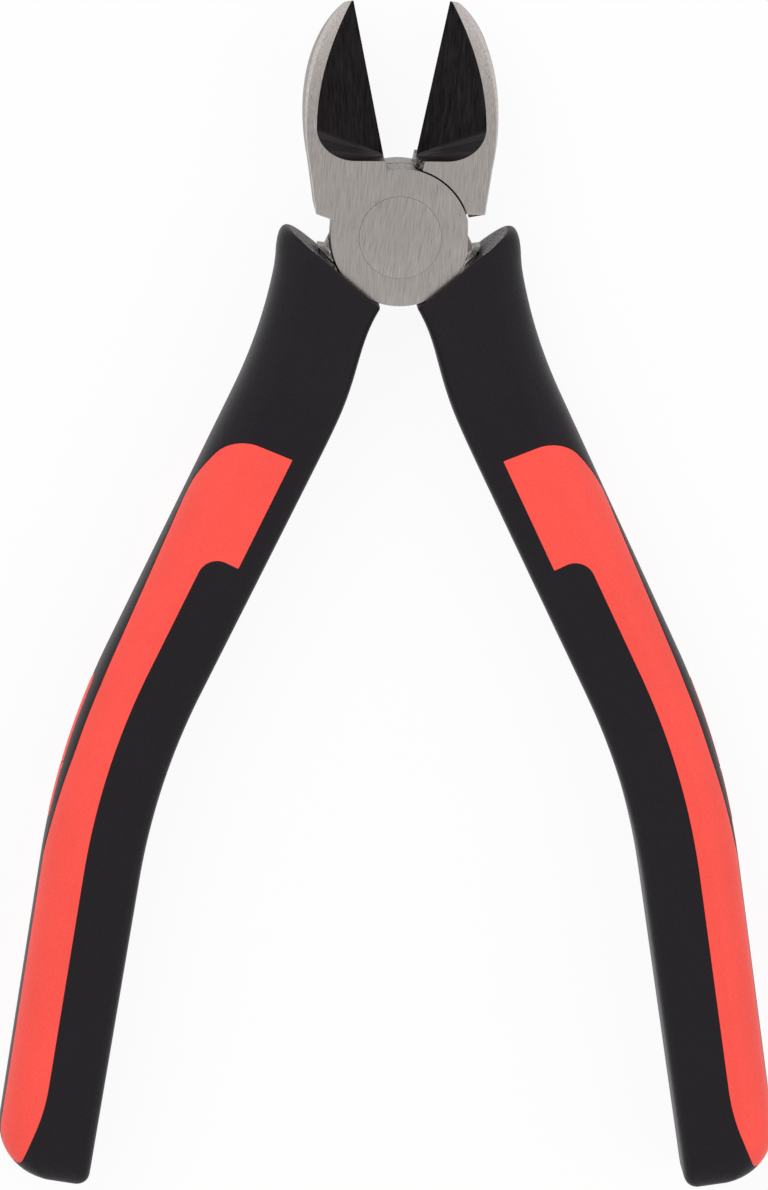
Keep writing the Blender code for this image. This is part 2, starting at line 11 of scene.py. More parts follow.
import logging
import math
from collections.abc import Callable, Iterable, Sequence
from dataclasses import dataclass, field, replace
from enum import Enum, IntEnum

import bmesh
import bpy
from bpy.types import Material, Mesh, MeshPolygon, Node, NodeOutputs, NodeSocket, NodeTree, Object
from mathutils import Matrix, Vector, noise


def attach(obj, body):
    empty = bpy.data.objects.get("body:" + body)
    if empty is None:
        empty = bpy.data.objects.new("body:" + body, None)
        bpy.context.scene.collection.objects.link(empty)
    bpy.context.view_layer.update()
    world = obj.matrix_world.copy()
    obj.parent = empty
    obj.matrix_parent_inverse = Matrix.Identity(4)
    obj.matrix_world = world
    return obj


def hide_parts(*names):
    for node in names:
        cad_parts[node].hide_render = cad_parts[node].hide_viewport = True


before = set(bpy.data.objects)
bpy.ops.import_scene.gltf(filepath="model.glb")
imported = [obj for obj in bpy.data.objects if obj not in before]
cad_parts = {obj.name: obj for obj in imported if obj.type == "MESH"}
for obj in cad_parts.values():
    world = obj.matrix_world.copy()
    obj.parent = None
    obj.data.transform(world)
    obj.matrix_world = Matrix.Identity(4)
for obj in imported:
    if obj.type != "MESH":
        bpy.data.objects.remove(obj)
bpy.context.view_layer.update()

LOG = logging.getLogger("diagonal cutter")
JOINT_HALF = 0.005  # half the joint's thickness
REST_OPENING = 23.2  # degrees between the cutting edges as packed
CUT_MARGIN = 0.002  # how far a cutter stands past what it cuts
SHARP_ANGLE = 32.0  # degrees from which an edge is shaded sharp
END_SLOPE = 0.98  # how far a normal lies along the pivot axis where a face ends a round body
SQUARE = ((-1, -1), (1, -1), (1, 1), (-1, 1))  # the signs of a square's corners, in order
MATH_NODE = "ShaderNodeMath"
VECTOR_NODE = "ShaderNodeVectorMath"
RANGE_NODE = "ShaderNodeMapRange"
RANGE_LIMITS = ("From Min", "From Max", "To Min", "To Max")
MIX_DARK, MIX_LIGHT, MIX_TONE = 6, 7, 2  # the colour sockets of a Mix node

Pair = tuple[float, float]
Triple = tuple[float, float, float]
Source = Node | NodeSocket


class Half(Enum):
    """The two halves of the tool, each named for the body that it rides on."""

    RIGHT = "right_half"
    LEFT = "left_half"

    @property
    def side(self) -> str:
        """The side that starts the names of the half's pieces."""
        return self.name.lower()

    @property
    def turn(self) -> Matrix:
        """Carries the lever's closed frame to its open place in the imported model.

        Returns:
            The matrix that does so.
        """
        opening = math.radians(REST_OPENING / 2)
        lift = Matrix.Translation((0.0, 0.0, JOINT_HALF))
        if self is Half.RIGHT:
            return lift @ Matrix.Rotation(opening, 4, "Z")
        return lift @ Matrix.Rotation(-opening, 4, "Z") @ Matrix.Rotation(math.pi, 4, "Y")


class Face(Enum):
    """A face of a half in its lever's frame: the lap's own side, or the side it laps over."""

    LAP = 1
    UNDER = -1

    def name_on(self, half: Half) -> str:
        """Front or back, as the face lies on this half of the tool."""
        return "front" if (self is Face.LAP) == (half is Half.RIGHT) else "back"


class Surface(IntEnum):
    """How a face of a lever was made, and where its finish paints shade, in the order of its material
    indices.
    """

    GROUND = 0
    BEVEL = 1
    RAMP = 2
    TORN_AND_SHADED = 3
    FORGED = 4
    SCOURED_SIDE_AND_SHADED_RIM = 5


class Skin(IntEnum):
    """Which material a face of a grip's skin takes, in the order of its material indices: the moulded skin,
    then a painted highlight on the ear's end.
    """

    MOULDED = 0
    PAINTED_END_HIGHLIGHT = 1


class Cut(Enum):
    """How a tool body changes the body that it meets."""

    JOIN = "UNION"
    REMOVE = "DIFFERENCE"
    KEEP = "INTERSECT"


def linear(colour: str) -> tuple[float, float, float, float]:
    """Turns an sRGB hex colour into Blender's linear colour.

    Args:
        colour: Six hex digits after a hash sign.

    Returns:
        Red, green, blue and an alpha of 1.
    """
    shares = [int(colour[i : i + 2], 16) / 255 for i in (1, 3, 5)]
    red, green, blue = (s / 12.92 if s <= 0.04045 else ((s + 0.055) / 1.055) ** 2.4 for s in shares)
    return red, green, blue, 1.0


def feed(node: Node, inputs: dict) -> Node:
    """Sets or links the sockets of a node.

    Args:
        node: The node.
        inputs: What its sockets get, by name or number: a value, a socket, or a node's first output.

    Returns:
        The same node.
    """
    for key, value in inputs.items():
        source = value.outputs[0] if isinstance(value, Node) else value
        if isinstance(source, NodeSocket):
            node.id_data.links.new(source, node.inputs[key])
        else:
            node.inputs[key].default_value = source
    return node


def add_node(tree: NodeTree, kind: str, inputs: dict | None = None, **settings: str | bool) -> Node:
    """Adds one node with its settings and its links.

    Args:
        tree: The tree that takes the node.
        kind: The node's type.
        inputs: What its sockets get, as in feed.
        settings: Values of its properties.

    Returns:
        The new node.
    """
    node = tree.nodes.new(kind)
    for name, value in settings.items():
        setattr(node, name, value)
    return feed(node, inputs or {})


def limits(*values: float | Source) -> dict[str, float | Source]:
    """The limits that a range node maps from, and those that it maps to."""
    return dict(zip(RANGE_LIMITS, values))


def link_body(name: str, mesh: Mesh) -> Object:
    """Puts a mesh into the scene as an object at the origin.

    Args:
        name: The object's name.
        mesh: Its mesh.

    Returns:
        The linked object.
    """
    body = bpy.data.objects.new(name, mesh)
    bpy.context.scene.collection.objects.link(body)
    return body


def copy_of(body: Object, name: str) -> Object:
    """Makes a body with a mesh of its own, equal to the given one."""
    return link_body(name, body.data.copy())


def solid(name: str, bm: bmesh.types.BMesh, finish: int = 0) -> Object:
    """Makes a closed body from a bmesh, with its faces pointing out.

    Args:
        name: The body's name.
        bm: The closed mesh, which is used up.
        finish: The material index of its faces.

    Returns:
        The new body.
    """
    bmesh.ops.recalc_face_normals(bm, faces=bm.faces)
    for face in bm.faces:
        face.material_index = finish
    mesh = bpy.data.meshes.new(name)
    bm.to_mesh(mesh)
    bm.free()
    return link_body(name, mesh)


def loft(name: str, rings: Sequence[Iterable[Sequence[float]]], finish: int = 0) -> Object:
    """Joins closed rings of equal counts into one body with flat ends.

    Args:
        name: The body's name.
        rings: The rings of points, in order.
        finish: The material index of its faces.

    Returns:
        The new body.
    """
    bm = bmesh.new()
    loops = [[bm.verts.new(point) for point in ring] for ring in rings]
    count = len(loops[0])
    for lower, upper in zip(loops, loops[1:]):
        for i in range(count):
            j = (i + 1) % count
            bm.faces.new((lower[i], lower[j], upper[j], upper[i]))
    bm.faces.new(loops[0])
    bm.faces.new(reversed(loops[-1]))
    return solid(name, bm, finish)


def mark(body: Object, finish: int, chosen: Callable[[MeshPolygon], bool]) -> None:
    """Gives some faces of a body another finish.

    Args:
        body: The body.
        finish: The material index that the faces get.
        chosen: Says which faces get it.
    """
    for face in body.data.polygons:
        if chosen(face):
            face.material_index = finish


def turned(name: str, profile: Sequence[Pair], finish: int = 0, points: int = 160) -> Object:
    """Makes a round body on the pivot axis.

    Args:
        name: The body's name.
        profile: The radius and the height of each ring, in order.
        finish: The material index of its side, while its flat ends have index 0.
        points: How many points a ring has.

    Returns:
        The new body.
    """
    angles = [2 * math.pi * i / points for i in range(points)]
    body = loft(name, [[(r * math.cos(a), r * math.sin(a), z) for a in angles] for r, z in profile])
    mark(body, finish, lambda face: abs(face.normal.z) < END_SLOPE)
    return body


def dress(body: Object, finishes: Sequence[Material]) -> Object:
    """Gives a body its materials.

    Args:
        body: The body.
        finishes: The materials, in the order of its material indices.

    Returns:
        The same body.
    """
    slots = body.data.materials
    while len(slots) < len(finishes):
        slots.append(None)
    for index, finish in enumerate(finishes):
        slots[index] = finish
    return body


def baked(body: Object) -> Object:
    """Gives a body the mesh that its modifiers make, and removes them.

    Args:
        body: The body with modifiers.

    Returns:
        The same body.
    """
    graph = bpy.context.evaluated_depsgraph_get()
    result = bpy.data.meshes.new_from_object(body.evaluated_get(graph))
    body.modifiers.clear()
    body.data = result
    return body


def combine(body: Object, tool: Object, cut: Cut) -> Object:
    """Applies one Boolean of a tool to a body, and deletes the tool.

    Args:
        body: The body that changes.
        tool: The body that joins or cuts it.
        cut: What the tool does.

    Returns:
        The changed body.
    """
    for finish in body.data.materials[len(tool.data.materials) :]:
        tool.data.materials.append(finish)
    modifier = body.modifiers.new(cut.name, "BOOLEAN")
    modifier.operation = cut.value
    modifier.solver = "EXACT"
    modifier.object = tool
    baked(body)
    bpy.data.objects.remove(tool)
    return body


def hand_in(body: Object, half: Half, slot: str, finishes: Sequence[Material], *nodes: str) -> Object:
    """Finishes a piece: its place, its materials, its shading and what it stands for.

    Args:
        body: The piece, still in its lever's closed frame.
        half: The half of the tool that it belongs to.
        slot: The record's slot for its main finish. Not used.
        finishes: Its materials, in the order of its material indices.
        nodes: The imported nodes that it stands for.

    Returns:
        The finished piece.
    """
    body.data.transform(half.turn)
    dress(body, finishes)
    body.data.shade_smooth()
    body.data.set_sharp_from_angle(angle=math.radians(SHARP_ANGLE))
    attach(body, half.value)
    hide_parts(*nodes)
    return body


def taper(start: float, end: float, share: float) -> float:
    """Goes from start to end as share goes from 0 to 1."""
    return start + (end - start) * share


def row(start: float, end: float, steps: int) -> list[float]:
    """Evenly spaced values from start to end, with both of them."""
    return [taper(start, end, step / steps) for step in range(steps + 1)]


def smooth(share: float) -> float:
    """An eased share, level at 0 and at 1 and held beyond them."""
    held = min(max(share, 0.0), 1.0)
    return held * held * (3 - 2 * held)


def drawn_in(distance: float, radius: float) -> float:
    """How far a corner of some radius has drawn in, at a distance from the end that it rounds off."""
    run = radius - min(max(distance, 0.0), radius)
    return radius - math.sqrt(radius**2 - run**2)


def eased_rim(radius: float, height: float, ease: float, steps: int = 4) -> list[Pair]:
    """The radius and the height of each point on a rim's rounded edge, from its side to its face."""
    turns = row(0.0, math.pi / 2, steps)
    return [(radius - ease * (1 - math.cos(a)), height - ease * (1 - math.sin(a))) for a in turns]


def filleted(corners: Sequence[Triple], steps: int) -> list[Vector]:
    """Rounds the corners of a closed outline.

    Args:
        corners: The two numbers of each corner's place, and its radius, where 0 keeps it sharp.
        steps: How many facets a rounding has.

    Returns:
        The outline's points, as many for every outline of the same corners.
    """
    places = [Vector(corner[:2]) for corner in corners]
    points = []
    for index, corner in enumerate(places):
        radius = corners[index][2]
        if not radius:
            points.append(corner)
            continue
        back = (places[index - 1] - corner).normalized()
        ahead = (places[(index + 1) % len(places)] - corner).normalized()
        half_angle = back.angle(ahead) / 2
        reach = radius / math.tan(half_angle)
        centre = corner + (back + ahead).normalized() * radius / math.sin(half_angle)
        first = corner + back * reach - centre
        last = corner + ahead * reach - centre
        sweep = first.angle_signed(last)
        for step in range(steps + 1):
            angle = -sweep * step / steps
            turn = complex(math.cos(angle), math.sin(angle)) * complex(first.x, first.y)
            points.append(centre + Vector((turn.real, turn.imag)))
    return points


def spaced(outline: Sequence[Vector], step: float) -> list[Vector]:
    """Divides the long edges of a closed outline.

    Args:
        outline: The outline's points.
        step: The longest edge that stays whole.

    Returns:
        The outline with more points.
    """
    points = []
    for index, point in enumerate(outline):
        ahead = outline[(index + 1) % len(outline)]
        pieces = max(1, math.ceil((ahead - point).length / step))
        points += [point.lerp(ahead, piece / pieces) for piece in range(pieces)]
    return points


@dataclass(frozen=True)
class Finish:
    """A finish with one grain, which shows in its tone, its gloss and its relief.

    The grain's size is in metres, so it keeps its scale on every piece.
    """

    name: str
    dark: str
    light: str
    grain: Triple = (0.0003, 0.0003, 0.0003)
    lean: float = 0.0
    detail: float = 3.0
    coarseness: float = 0.6
    middle: float = 0.5
    spread: float = 0.17
    roughness: float = 0.5
    gloss_spread: float = 0.1
    metallic: float = 1.0
    specular: float = 0.5
    sheen: float = 0.0
    sheen_roughness: float = 0.5
    relief: float = 0.00006
    relief_share: float = 0.6

    def place(self, tree: NodeTree) -> Source:
        """Where the pattern reads a point of the piece."""
        return add_node(tree, "ShaderNodeTexCoord").outputs["Object"]

    def tinted(self, tree: NodeTree, tone: Source) -> Source:
        """The tone with the marks that this finish has over its grain."""
        return tone

    def pattern(self, tree: NodeTree, size: Triple, detail: float, seed: float = 0.0) -> Node:
        """Draws a noise, turned by the finish's lean.

        Args:
            tree: The material's tree.
            size: The size of its grains.
            detail: How many finer layers it has.
            seed: Sets it apart from another pattern of the same finish.

        Returns:
            The noise.
        """
        turn = (0.0, 0.0, math.radians(self.lean))
        place = {"Vector": self.place(tree), "Rotation": turn, "Scale": size}
        scaled = add_node(tree, "ShaderNodeMapping", place, vector_type="TEXTURE")
        layers = {"Scale": 1.0, "Detail": detail, "Roughness": self.coarseness}
        inputs = {"Vector": scaled, "W": seed, **layers}
        return add_node(tree, "ShaderNodeTexNoise", inputs, noise_dimensions="4D")

    def shaded(self, tree: NodeTree, tone: Source, value: Source, window: Pair, levels: Pair) -> Node:
        """Multiplies a tone by the first or the second level, as a value passes through a window."""
        level = add_node(tree, RANGE_NODE, {"Value": value, **limits(*window, *levels)})
        return add_node(tree, VECTOR_NODE, {0: tone, "Scale": level}, operation="SCALE")

    def material(self) -> Material:
        """Builds the finish.

        Returns:
            Its material.
        """
        material = bpy.data.materials.new(self.name)
        material.use_nodes = True
        tree = material.node_tree
        grain = self.pattern(tree, self.grain, self.detail)
        window = (self.middle - self.spread, self.middle + self.spread)
        dulled = (self.roughness + self.gloss_spread, self.roughness - self.gloss_spread)
        share = add_node(tree, RANGE_NODE, {"Value": grain, **limits(*window)})
        tones = {0: share, MIX_DARK: linear(self.dark), MIX_LIGHT: linear(self.light)}
        tone = add_node(tree, "ShaderNodeMix", tones, data_type="RGBA").outputs[MIX_TONE]
        bump = {"Strength": self.relief_share, "Distance": self.relief, "Height": grain}
        looks = {
            "Base Color": self.tinted(tree, tone),
            "Metallic": self.metallic,
            "Roughness": add_node(tree, RANGE_NODE, {"Value": grain, **limits(*window, *dulled)}),
            "Specular IOR Level": self.specular,
            "Sheen Weight": self.sheen,
            "Sheen Roughness": self.sheen_roughness,
            "Normal": add_node(tree, "ShaderNodeBump", bump),
        }
        feed(tree.nodes["Principled BSDF"], looks)
        return material


@dataclass(frozen=True)
class GroundSteel(Finish):
    """Chrome vanadium tool steel, forged, hardened and then belt ground along the tool.

    The belt leaves long fine scratches, so the face is a satin grey with streaks, and here and
    there a worn grain has left a darker stroke. The grit's scratches are about 0.03 mm wide, too
    fine to show, and are drawn 0.1 mm wide. They wander, as the tool was held by hand.
    """

    dark: str = "#AFA8A5"
    light: str = "#DFD7D3"
    grain: Triple = (0.00011, 0.0032, 0.00011)
    lean: float = -4.0
    detail: float = 5.0
    coarseness: float = 0.66
    middle: float = 0.51
    spread: float = 0.19
    roughness: float = 0.35
    gloss_spread: float = 0.08
    relief: float = 0.000012
    stroke: Triple = (0.00013, 0.0026, 0.00013)
    stroke_detail: float = 1.5
    stroke_seed: float = 3.0
    stroke_window: Pair = (0.56, 0.72)
    stroke_levels: Pair = (1.0, 0.66)
    wander: float = 0.014
    wander_detail: float = 1.0
    wander_reach: float = 0.0016

    def place(self, tree: NodeTree) -> Source:
        """The point, drawn aside a little by the hand that held the tool.

        Args:
            tree: The material's tree.

        Returns:
            What gives the point.
        """
        plain = super().place(tree)
        slow = {"Vector": plain, "Scale": 1 / self.wander, "Detail": self.wander_detail}
        drift = add_node(tree, "ShaderNodeTexNoise", slow).outputs["Color"]
        aside = {0: drift, 1: (self.wander_reach, 0.0, 0.0), 2: plain}
        return add_node(tree, VECTOR_NODE, aside, operation="MULTIPLY_ADD")

    def tinted(self, tree: NodeTree, tone: Source) -> Source:
        """The tone with its darker strokes."""
        strokes = self.pattern(tree, self.stroke, self.stroke_detail, self.stroke_seed)
        return self.shaded(tree, tone, strokes, self.stroke_window, self.stroke_levels)


@dataclass(frozen=True)
class BlackOxide(Finish):
    """Hardened steel blacked in a hot oxide bath after its bevels were ground.

    The bath leaves a thin near-black film that keeps a low metal sheen, and the grinding marks
    under it show as faint streaks. Those are drawn 0.3 mm wide, as a belt's own don't show.
    """

    dark: str = "#0E0C0E"
    light: str = "#2B2628"
    grain: Triple = (0.0003, 0.005, 0.0003)
    detail: float = 4.0
    coarseness: float = 0.62
    middle: float = 0.535
    spread: float = 0.185
    roughness: float = 0.43
    gloss_spread: float = 0.07
    metallic: float = 0.85
    relief: float = 0.00001


@dataclass(frozen=True)
class FannedOxide(BlackOxide):
    """The same black film on the ramp, whose wheel ran out at the end of the cutting edge.

    Its marks fan out from there, and a painted highlight lightens the tone close to there. The
    grain's size is an angle in radians, and both halves share one place, as they mirror each other.
    """

    dark: str = "#211D1F"
    light: str = "#3E3A3C"
    grain: Triple = (0.035, 0.035, 0.035)
    apex: Triple = (0.0020, 0.0098, JOINT_HALF)
    # a painted highlight: the tone is lifted up to threefold near the end of the cutting edge
    painted_highlight_window: Pair = (0.0, 0.0042)
    painted_highlight_levels: Pair = (3.0, 0.9)

    def from_apex(self, tree: NodeTree, operation: str) -> Node:
        """Works on the way from the end of the cutting edge to the point.

        Args:
            tree: The material's tree.
            operation: What is worked out, such as the way's length.

        Returns:
            The node with the result.
        """
        mirrored = add_node(tree, VECTOR_NODE, {0: super().place(tree)}, operation="ABSOLUTE")
        way = add_node(tree, VECTOR_NODE, {0: mirrored, 1: self.apex}, operation="SUBTRACT")
        return add_node(tree, VECTOR_NODE, {0: way}, operation=operation)

    def place(self, tree: NodeTree) -> Source:
        """The direction of the point from the end of the cutting edge."""
        return self.from_apex(tree, "NORMALIZE")

    def tinted(self, tree: NodeTree, tone: Source) -> Source:
        """The tone with a painted highlight close to the end of the cutting edge."""
        distance = self.from_apex(tree, "LENGTH").outputs["Value"]
        return self.shaded(tree, tone, distance, self.painted_highlight_window, self.painted_highlight_levels)


@dataclass(frozen=True)
class RoughSteel(Finish):
    """Steel left as it was forged and blasted or scoured, or as a broach tore it.

    Its grains lie at all angles, so it is a dull grey with bright and dark specks. Blasting leaves
    pits of about 0.1 mm, which are drawn 0.3 mm wide to show.
    """


@dataclass(frozen=True)
class MouldedRubber(Finish):
    """Thermoplastic elastomer, injection moulded in a spark-eroded mould.

    The mould's fine matt grain scatters the light, so the skin has no clear reflections, only a
    soft sheen on its rounded edges. A real grain is about 0.05 mm, and is drawn 0.3 mm wide.
    """

    detail: float = 2.0
    gloss_spread: float = 0.06
    metallic: float = 0.0
    sheen_roughness: float = 0.3
    relief: float = 0.000015
    cloud: Triple = (0.012, 0.012, 0.012)
    cloud_detail: float = 3.0
    cloud_seed: float = 5.0
    cloud_window: Pair = (0.3, 0.7)
    cloud_levels: Pair = (0.96, 1.04)

    def tinted(self, tree: NodeTree, tone: Source) -> Source:
        """The tone, clouded as the melt flowed."""
        clouds = self.pattern(tree, self.cloud, self.cloud_detail, self.cloud_seed)
        return self.shaded(tree, tone, clouds, self.cloud_window, self.cloud_levels)


@dataclass
class Finishes:
    """Every finish of the tool, each made into a material once."""

    lever: tuple[Material, ...] = field(init=False)
    rivet: Material = field(init=False)
    skin: Material = field(init=False)
    collar: Material = field(init=False)
    inlay: Material = field(init=False)
    liner: Material = field(init=False)

    def __post_init__(self) -> None:
        """Makes the materials, a lever's in the order of its surfaces."""
        lever = (
            GroundSteel("belt_ground_chrome_vanadium_steel"),
            BlackOxide("hot_black_oxide_on_the_ground_bevel"),
            FannedOxide("hot_black_oxide_on_the_ramp"),
            # torn steel in the throat: a rough grain whose near-black dark is painted shade between the jaws
            RoughSteel(
                "broached_steel_in_the_throat",
                dark="#080707",
                light="#DAD5D1",
                grain=(0.0004, 0.0004, 0.0004),
                middle=0.54,
                spread=0.14,
                relief=0.00015,
            ),
            RoughSteel("blasted_steel_forging", dark="#5E5A58", light="#D0CBC6"),
            # scoured sides; the same darker grey on the lap's eased rim is painted shade along its edge
            RoughSteel("scoured_steel_on_the_sides", dark="#837E7B", light="#A9A4A0", relief=0.00002),
        )
        self.lever = tuple(finish.material() for finish in lever)
        self.rivet = GroundSteel("rivet_ground_flush_with_the_joint", lean=-9.0).material()
        self.skin = MouldedRubber(
            "black_moulded_elastomer",
            dark="#1A161B",
            light="#1E1A1F",
            roughness=0.58,
            specular=0.2,
            sheen=0.15,
        ).material()
        # the ear's end: its pale speckled grey is a painted highlight over the moulded grain
        self.collar = MouldedRubber(
            "black_elastomer_cut_at_its_gate",
            dark="#242324",
            light="#A5A2A0",
            roughness=0.6,
            specular=0.3,
            relief=0.0001,
        ).material()
        self.inlay = MouldedRubber(
            "red_moulded_elastomer", dark="#FC5147", light="#FF584D", roughness=0.55, specular=0.3
        ).material()
        self.liner = MouldedRubber("dark_polypropylene_liner", dark="#333335", light="#3B3B3E").material()


@dataclass(frozen=True)
class Section:
    """One section across the handle: where it stands and how far it reaches each way."""

    station: float
    finger: float
    palm: float
    half: float


@dataclass
class Handle:
    """The handle's axis and outline, which the tang and the grip share."""

    axis_offset: float = 0.0033
    upper_splay: float = 13.9
    upper_run: float = 0.064
    bend_radius: float = 0.0915
    lower_toe: float = 3.1
    lower_run: float = 0.0406
    width_top: float = 0.0137
    width_end: float = 0.0123
    half_thickness: float = 0.00725
    neck_pinch: float = 0.0017
    neck_pinch_centre: float = 0.010
    neck_pinch_length: float = 0.0085
    collar_setback: float = 0.00845
    collar_slant: float = 28.5
    collar_slant_fade: float = 0.022

    @property
    def bend_angle(self) -> float:
        """How far the axis turns in its bend, in radians."""
        return math.radians(self.upper_splay + self.lower_toe)

    @property
    def bend_end(self) -> float:
        """The station where the lower run starts."""
        return self.upper_run + self.bend_radius * self.bend_angle

    @property
    def end(self) -> float:
        """The station of the grip's lower end."""
        return self.bend_end + self.lower_run

    @property
    def collar_lean(self) -> float:
        """How far the collar's end leans against a square section, in radians."""
        return math.radians(self.collar_slant - self.upper_splay)

    @property
    def collar(self) -> float:
        """The station of the collar's end, on the axis."""
        lean = self.collar_lean
        return (self.collar_setback - self.axis_offset * math.sin(lean)) / math.cos(lean)

    def point(self, station: float, offset: float, z: float) -> Vector:
        """A point of the lever's frame from its place on the handle.

        Args:
            station: How far down the axis.
            offset: How far from the axis, positive towards the palm.
            z: The height from the middle plane.

        Returns:
            The point.
        """
        start = math.radians(self.upper_splay)
        angle = start
        run = min(station, self.upper_run)
        u = self.axis_offset * math.cos(angle) + run * math.sin(angle)
        v = self.axis_offset * math.sin(angle) - run * math.cos(angle)
        if station > self.upper_run:
            turned_by = min((station - self.upper_run) / self.bend_radius, self.bend_angle)
            left = station - self.upper_run - turned_by * self.bend_radius
            angle = start - turned_by
            u += self.bend_radius * (math.cos(angle) - math.cos(start)) + left * math.sin(angle)
            v += self.bend_radius * (math.sin(angle) - math.sin(start)) - left * math.cos(angle)
        return Vector((u + offset * math.cos(angle), v + offset * math.sin(angle), z))

    def across(self, station: float) -> Vector:
        """The direction across a section, which leans with the collar near the upper end.

        Args:
            station: Where the section stands.

        Returns:
            The direction, one metre long square across the handle.
        """
        share = (station - self.collar) / self.collar_slant_fade
        lean = math.tan(self.collar_lean) * (1 - smooth(share))
        square = self.point(station, 1.0, 0.0) - self.point(station, 0.0, 0.0)
        return square + lean * Vector((-square.y, square.x, 0.0))

    def half_width(self, station: float) -> float:
        """Half the grip's width at a station, without the ear and the pinched neck."""
        return taper(self.width_top, self.width_end, station / self.end) / 2

    def pinch(self, station: float) -> float:
        """How far the finger side of the grip draws in beside the joint."""
        share = (station - self.neck_pinch_centre) / self.neck_pinch_length
        return self.neck_pinch * math.exp(-(share**2))

    def inset(self, station: float, depth: float) -> Section:
        """A section that lies at a depth inside the grip's plain outline."""
        reach = self.half_width(station) - depth
        return Section(station, self.pinch(station) - reach, reach, self.half_thickness - depth)


@dataclass
class SectionSweep:
    """A Geometry Nodes tree that sweeps a flat-faced section down the handle.

    The guide is a chain of points, one for each section, which carry the section's place and
    reaches. The section is a superellipse, rounder on the palm side, with both faces flattened.
    """

    handle: Handle
    section_points: int = 96
    palm_roundness: float = 2.8
    finger_roundness: float = 8.0
    face_flatness: float = 0.97
    tree: NodeTree = field(init=False)

    def __post_init__(self) -> None:
        """Builds the tree."""
        tree = bpy.data.node_groups.new("handle section sweep", "GeometryNodeTree")
        self.tree = tree
        sockets = (
            ("Guide", "INPUT", "NodeSocketGeometry"),
            ("Section Points", "INPUT", "NodeSocketInt"),
            ("Palm Roundness", "INPUT", "NodeSocketFloat"),
            ("Finger Roundness", "INPUT", "NodeSocketFloat"),
            ("Face Flatness", "INPUT", "NodeSocketFloat"),
            ("Material", "INPUT", "NodeSocketMaterial"),
            ("Sweep", "OUTPUT", "NodeSocketGeometry"),
        )
        for name, way, kind in sockets:
            tree.interface.new_socket(name, in_out=way, socket_type=kind)
        entry = add_node(tree, "NodeGroupInput").outputs
        path = add_node(tree, "GeometryNodeMeshToCurve", {"Mesh": entry["Guide"]})
        drawn = {"Curve": path, "Profile Curve": self.marked_circle(entry), "Fill Caps": True}
        tube = add_node(tree, "GeometryNodeCurveToMesh", drawn)
        moved = {"Geometry": tube, "Position": self.section_place(entry)}
        placed = add_node(tree, "GeometryNodeSetPosition", moved)
        whole = add_node(tree, "GeometryNodeRealizeInstances", {0: placed})
        coat = {"Geometry": whole, "Material": entry["Material"]}
        dressed = add_node(tree, "GeometryNodeSetMaterial", coat)
        add_node(tree, "NodeGroupOutput", {"Sweep": dressed})

    def marked_circle(self, entry: NodeOutputs) -> Node:
        """A unit circle whose points carry their angle, none of them on the middle of a side.

        Args:
            entry: The tree's inputs.

        Returns:
            The node with the circle.
        """
        tree = self.tree
        count = entry["Section Points"]
        circle = add_node(tree, "GeometryNodeCurvePrimitiveCircle", {"Resolution": count})
        index = add_node(tree, "GeometryNodeInputIndex")
        middle = add_node(tree, MATH_NODE, {0: index, 1: 0.5}, operation="ADD")
        share = add_node(tree, MATH_NODE, {0: middle, 1: count}, operation="DIVIDE")
        angle = add_node(tree, MATH_NODE, {0: share, 1: 2 * math.pi}, operation="MULTIPLY")
        kept = {"Geometry": circle, "Name": "angle", "Value": angle}
        return add_node(tree, "GeometryNodeStoreNamedAttribute", kept, data_type="FLOAT", domain="POINT")

    def section_place(self, entry: NodeOutputs) -> Node:
        """Where each point of the sweep belongs.

        Args:
            entry: The tree's inputs.

        Returns:
            The node with the position.
        """
        tree = self.tree
        carried = {}
        for name in ("angle", "finger", "palm", "half", "centre", "across"):
            kind = "FLOAT_VECTOR" if name in ("centre", "across") else "FLOAT"
            carried[name] = add_node(tree, "GeometryNodeInputNamedAttribute", {"Name": name}, data_type=kind)
        cosine = add_node(tree, MATH_NODE, {0: carried["angle"]}, operation="COSINE")
        sine = add_node(tree, MATH_NODE, {0: carried["angle"]}, operation="SINE")
        on_palm = add_node(tree, MATH_NODE, {0: cosine, 1: 0.0}, operation="GREATER_THAN")
        sides = {0: on_palm, 2: entry["Finger Roundness"], 3: entry["Palm Roundness"]}
        roundness = add_node(tree, "ShaderNodeMix", sides)
        power = add_node(tree, MATH_NODE, {0: 2.0, 1: roundness}, operation="DIVIDE")
        bent = {}
        for name, wave in (("swing", cosine), ("rise", sine)):
            size = add_node(tree, MATH_NODE, {0: wave}, operation="ABSOLUTE")
            bent[name] = add_node(tree, MATH_NODE, {0: size, 1: power}, operation="POWER")
            bent[f"{name} sign"] = add_node(tree, MATH_NODE, {0: wave}, operation="SIGN")
        steep = add_node(tree, MATH_NODE, {0: bent["rise"], 1: entry["Face Flatness"]}, operation="DIVIDE")
        flat = add_node(tree, MATH_NODE, {0: steep, 1: 1.0}, operation="MINIMUM")
        level = add_node(tree, MATH_NODE, {0: flat, 1: bent["rise sign"]}, operation="MULTIPLY")
        height = add_node(tree, MATH_NODE, {0: level, 1: carried["half"]}, operation="MULTIPLY")
        swing = add_node(tree, MATH_NODE, {0: bent["swing"], 1: bent["swing sign"]}, operation="MULTIPLY")
        reach = {"Value": swing, **limits(-1.0, 1.0, carried["finger"], carried["palm"])}
        offset = add_node(tree, RANGE_NODE, reach, clamp=False)
        aside = add_node(tree, VECTOR_NODE, {0: carried["across"], "Scale": offset}, operation="SCALE")
        beside = add_node(tree, VECTOR_NODE, {0: carried["centre"], 1: aside}, operation="ADD")
        above = add_node(tree, "ShaderNodeCombineXYZ", {"Z": height})
        return add_node(tree, VECTOR_NODE, {0: beside, 1: above}, operation="ADD")

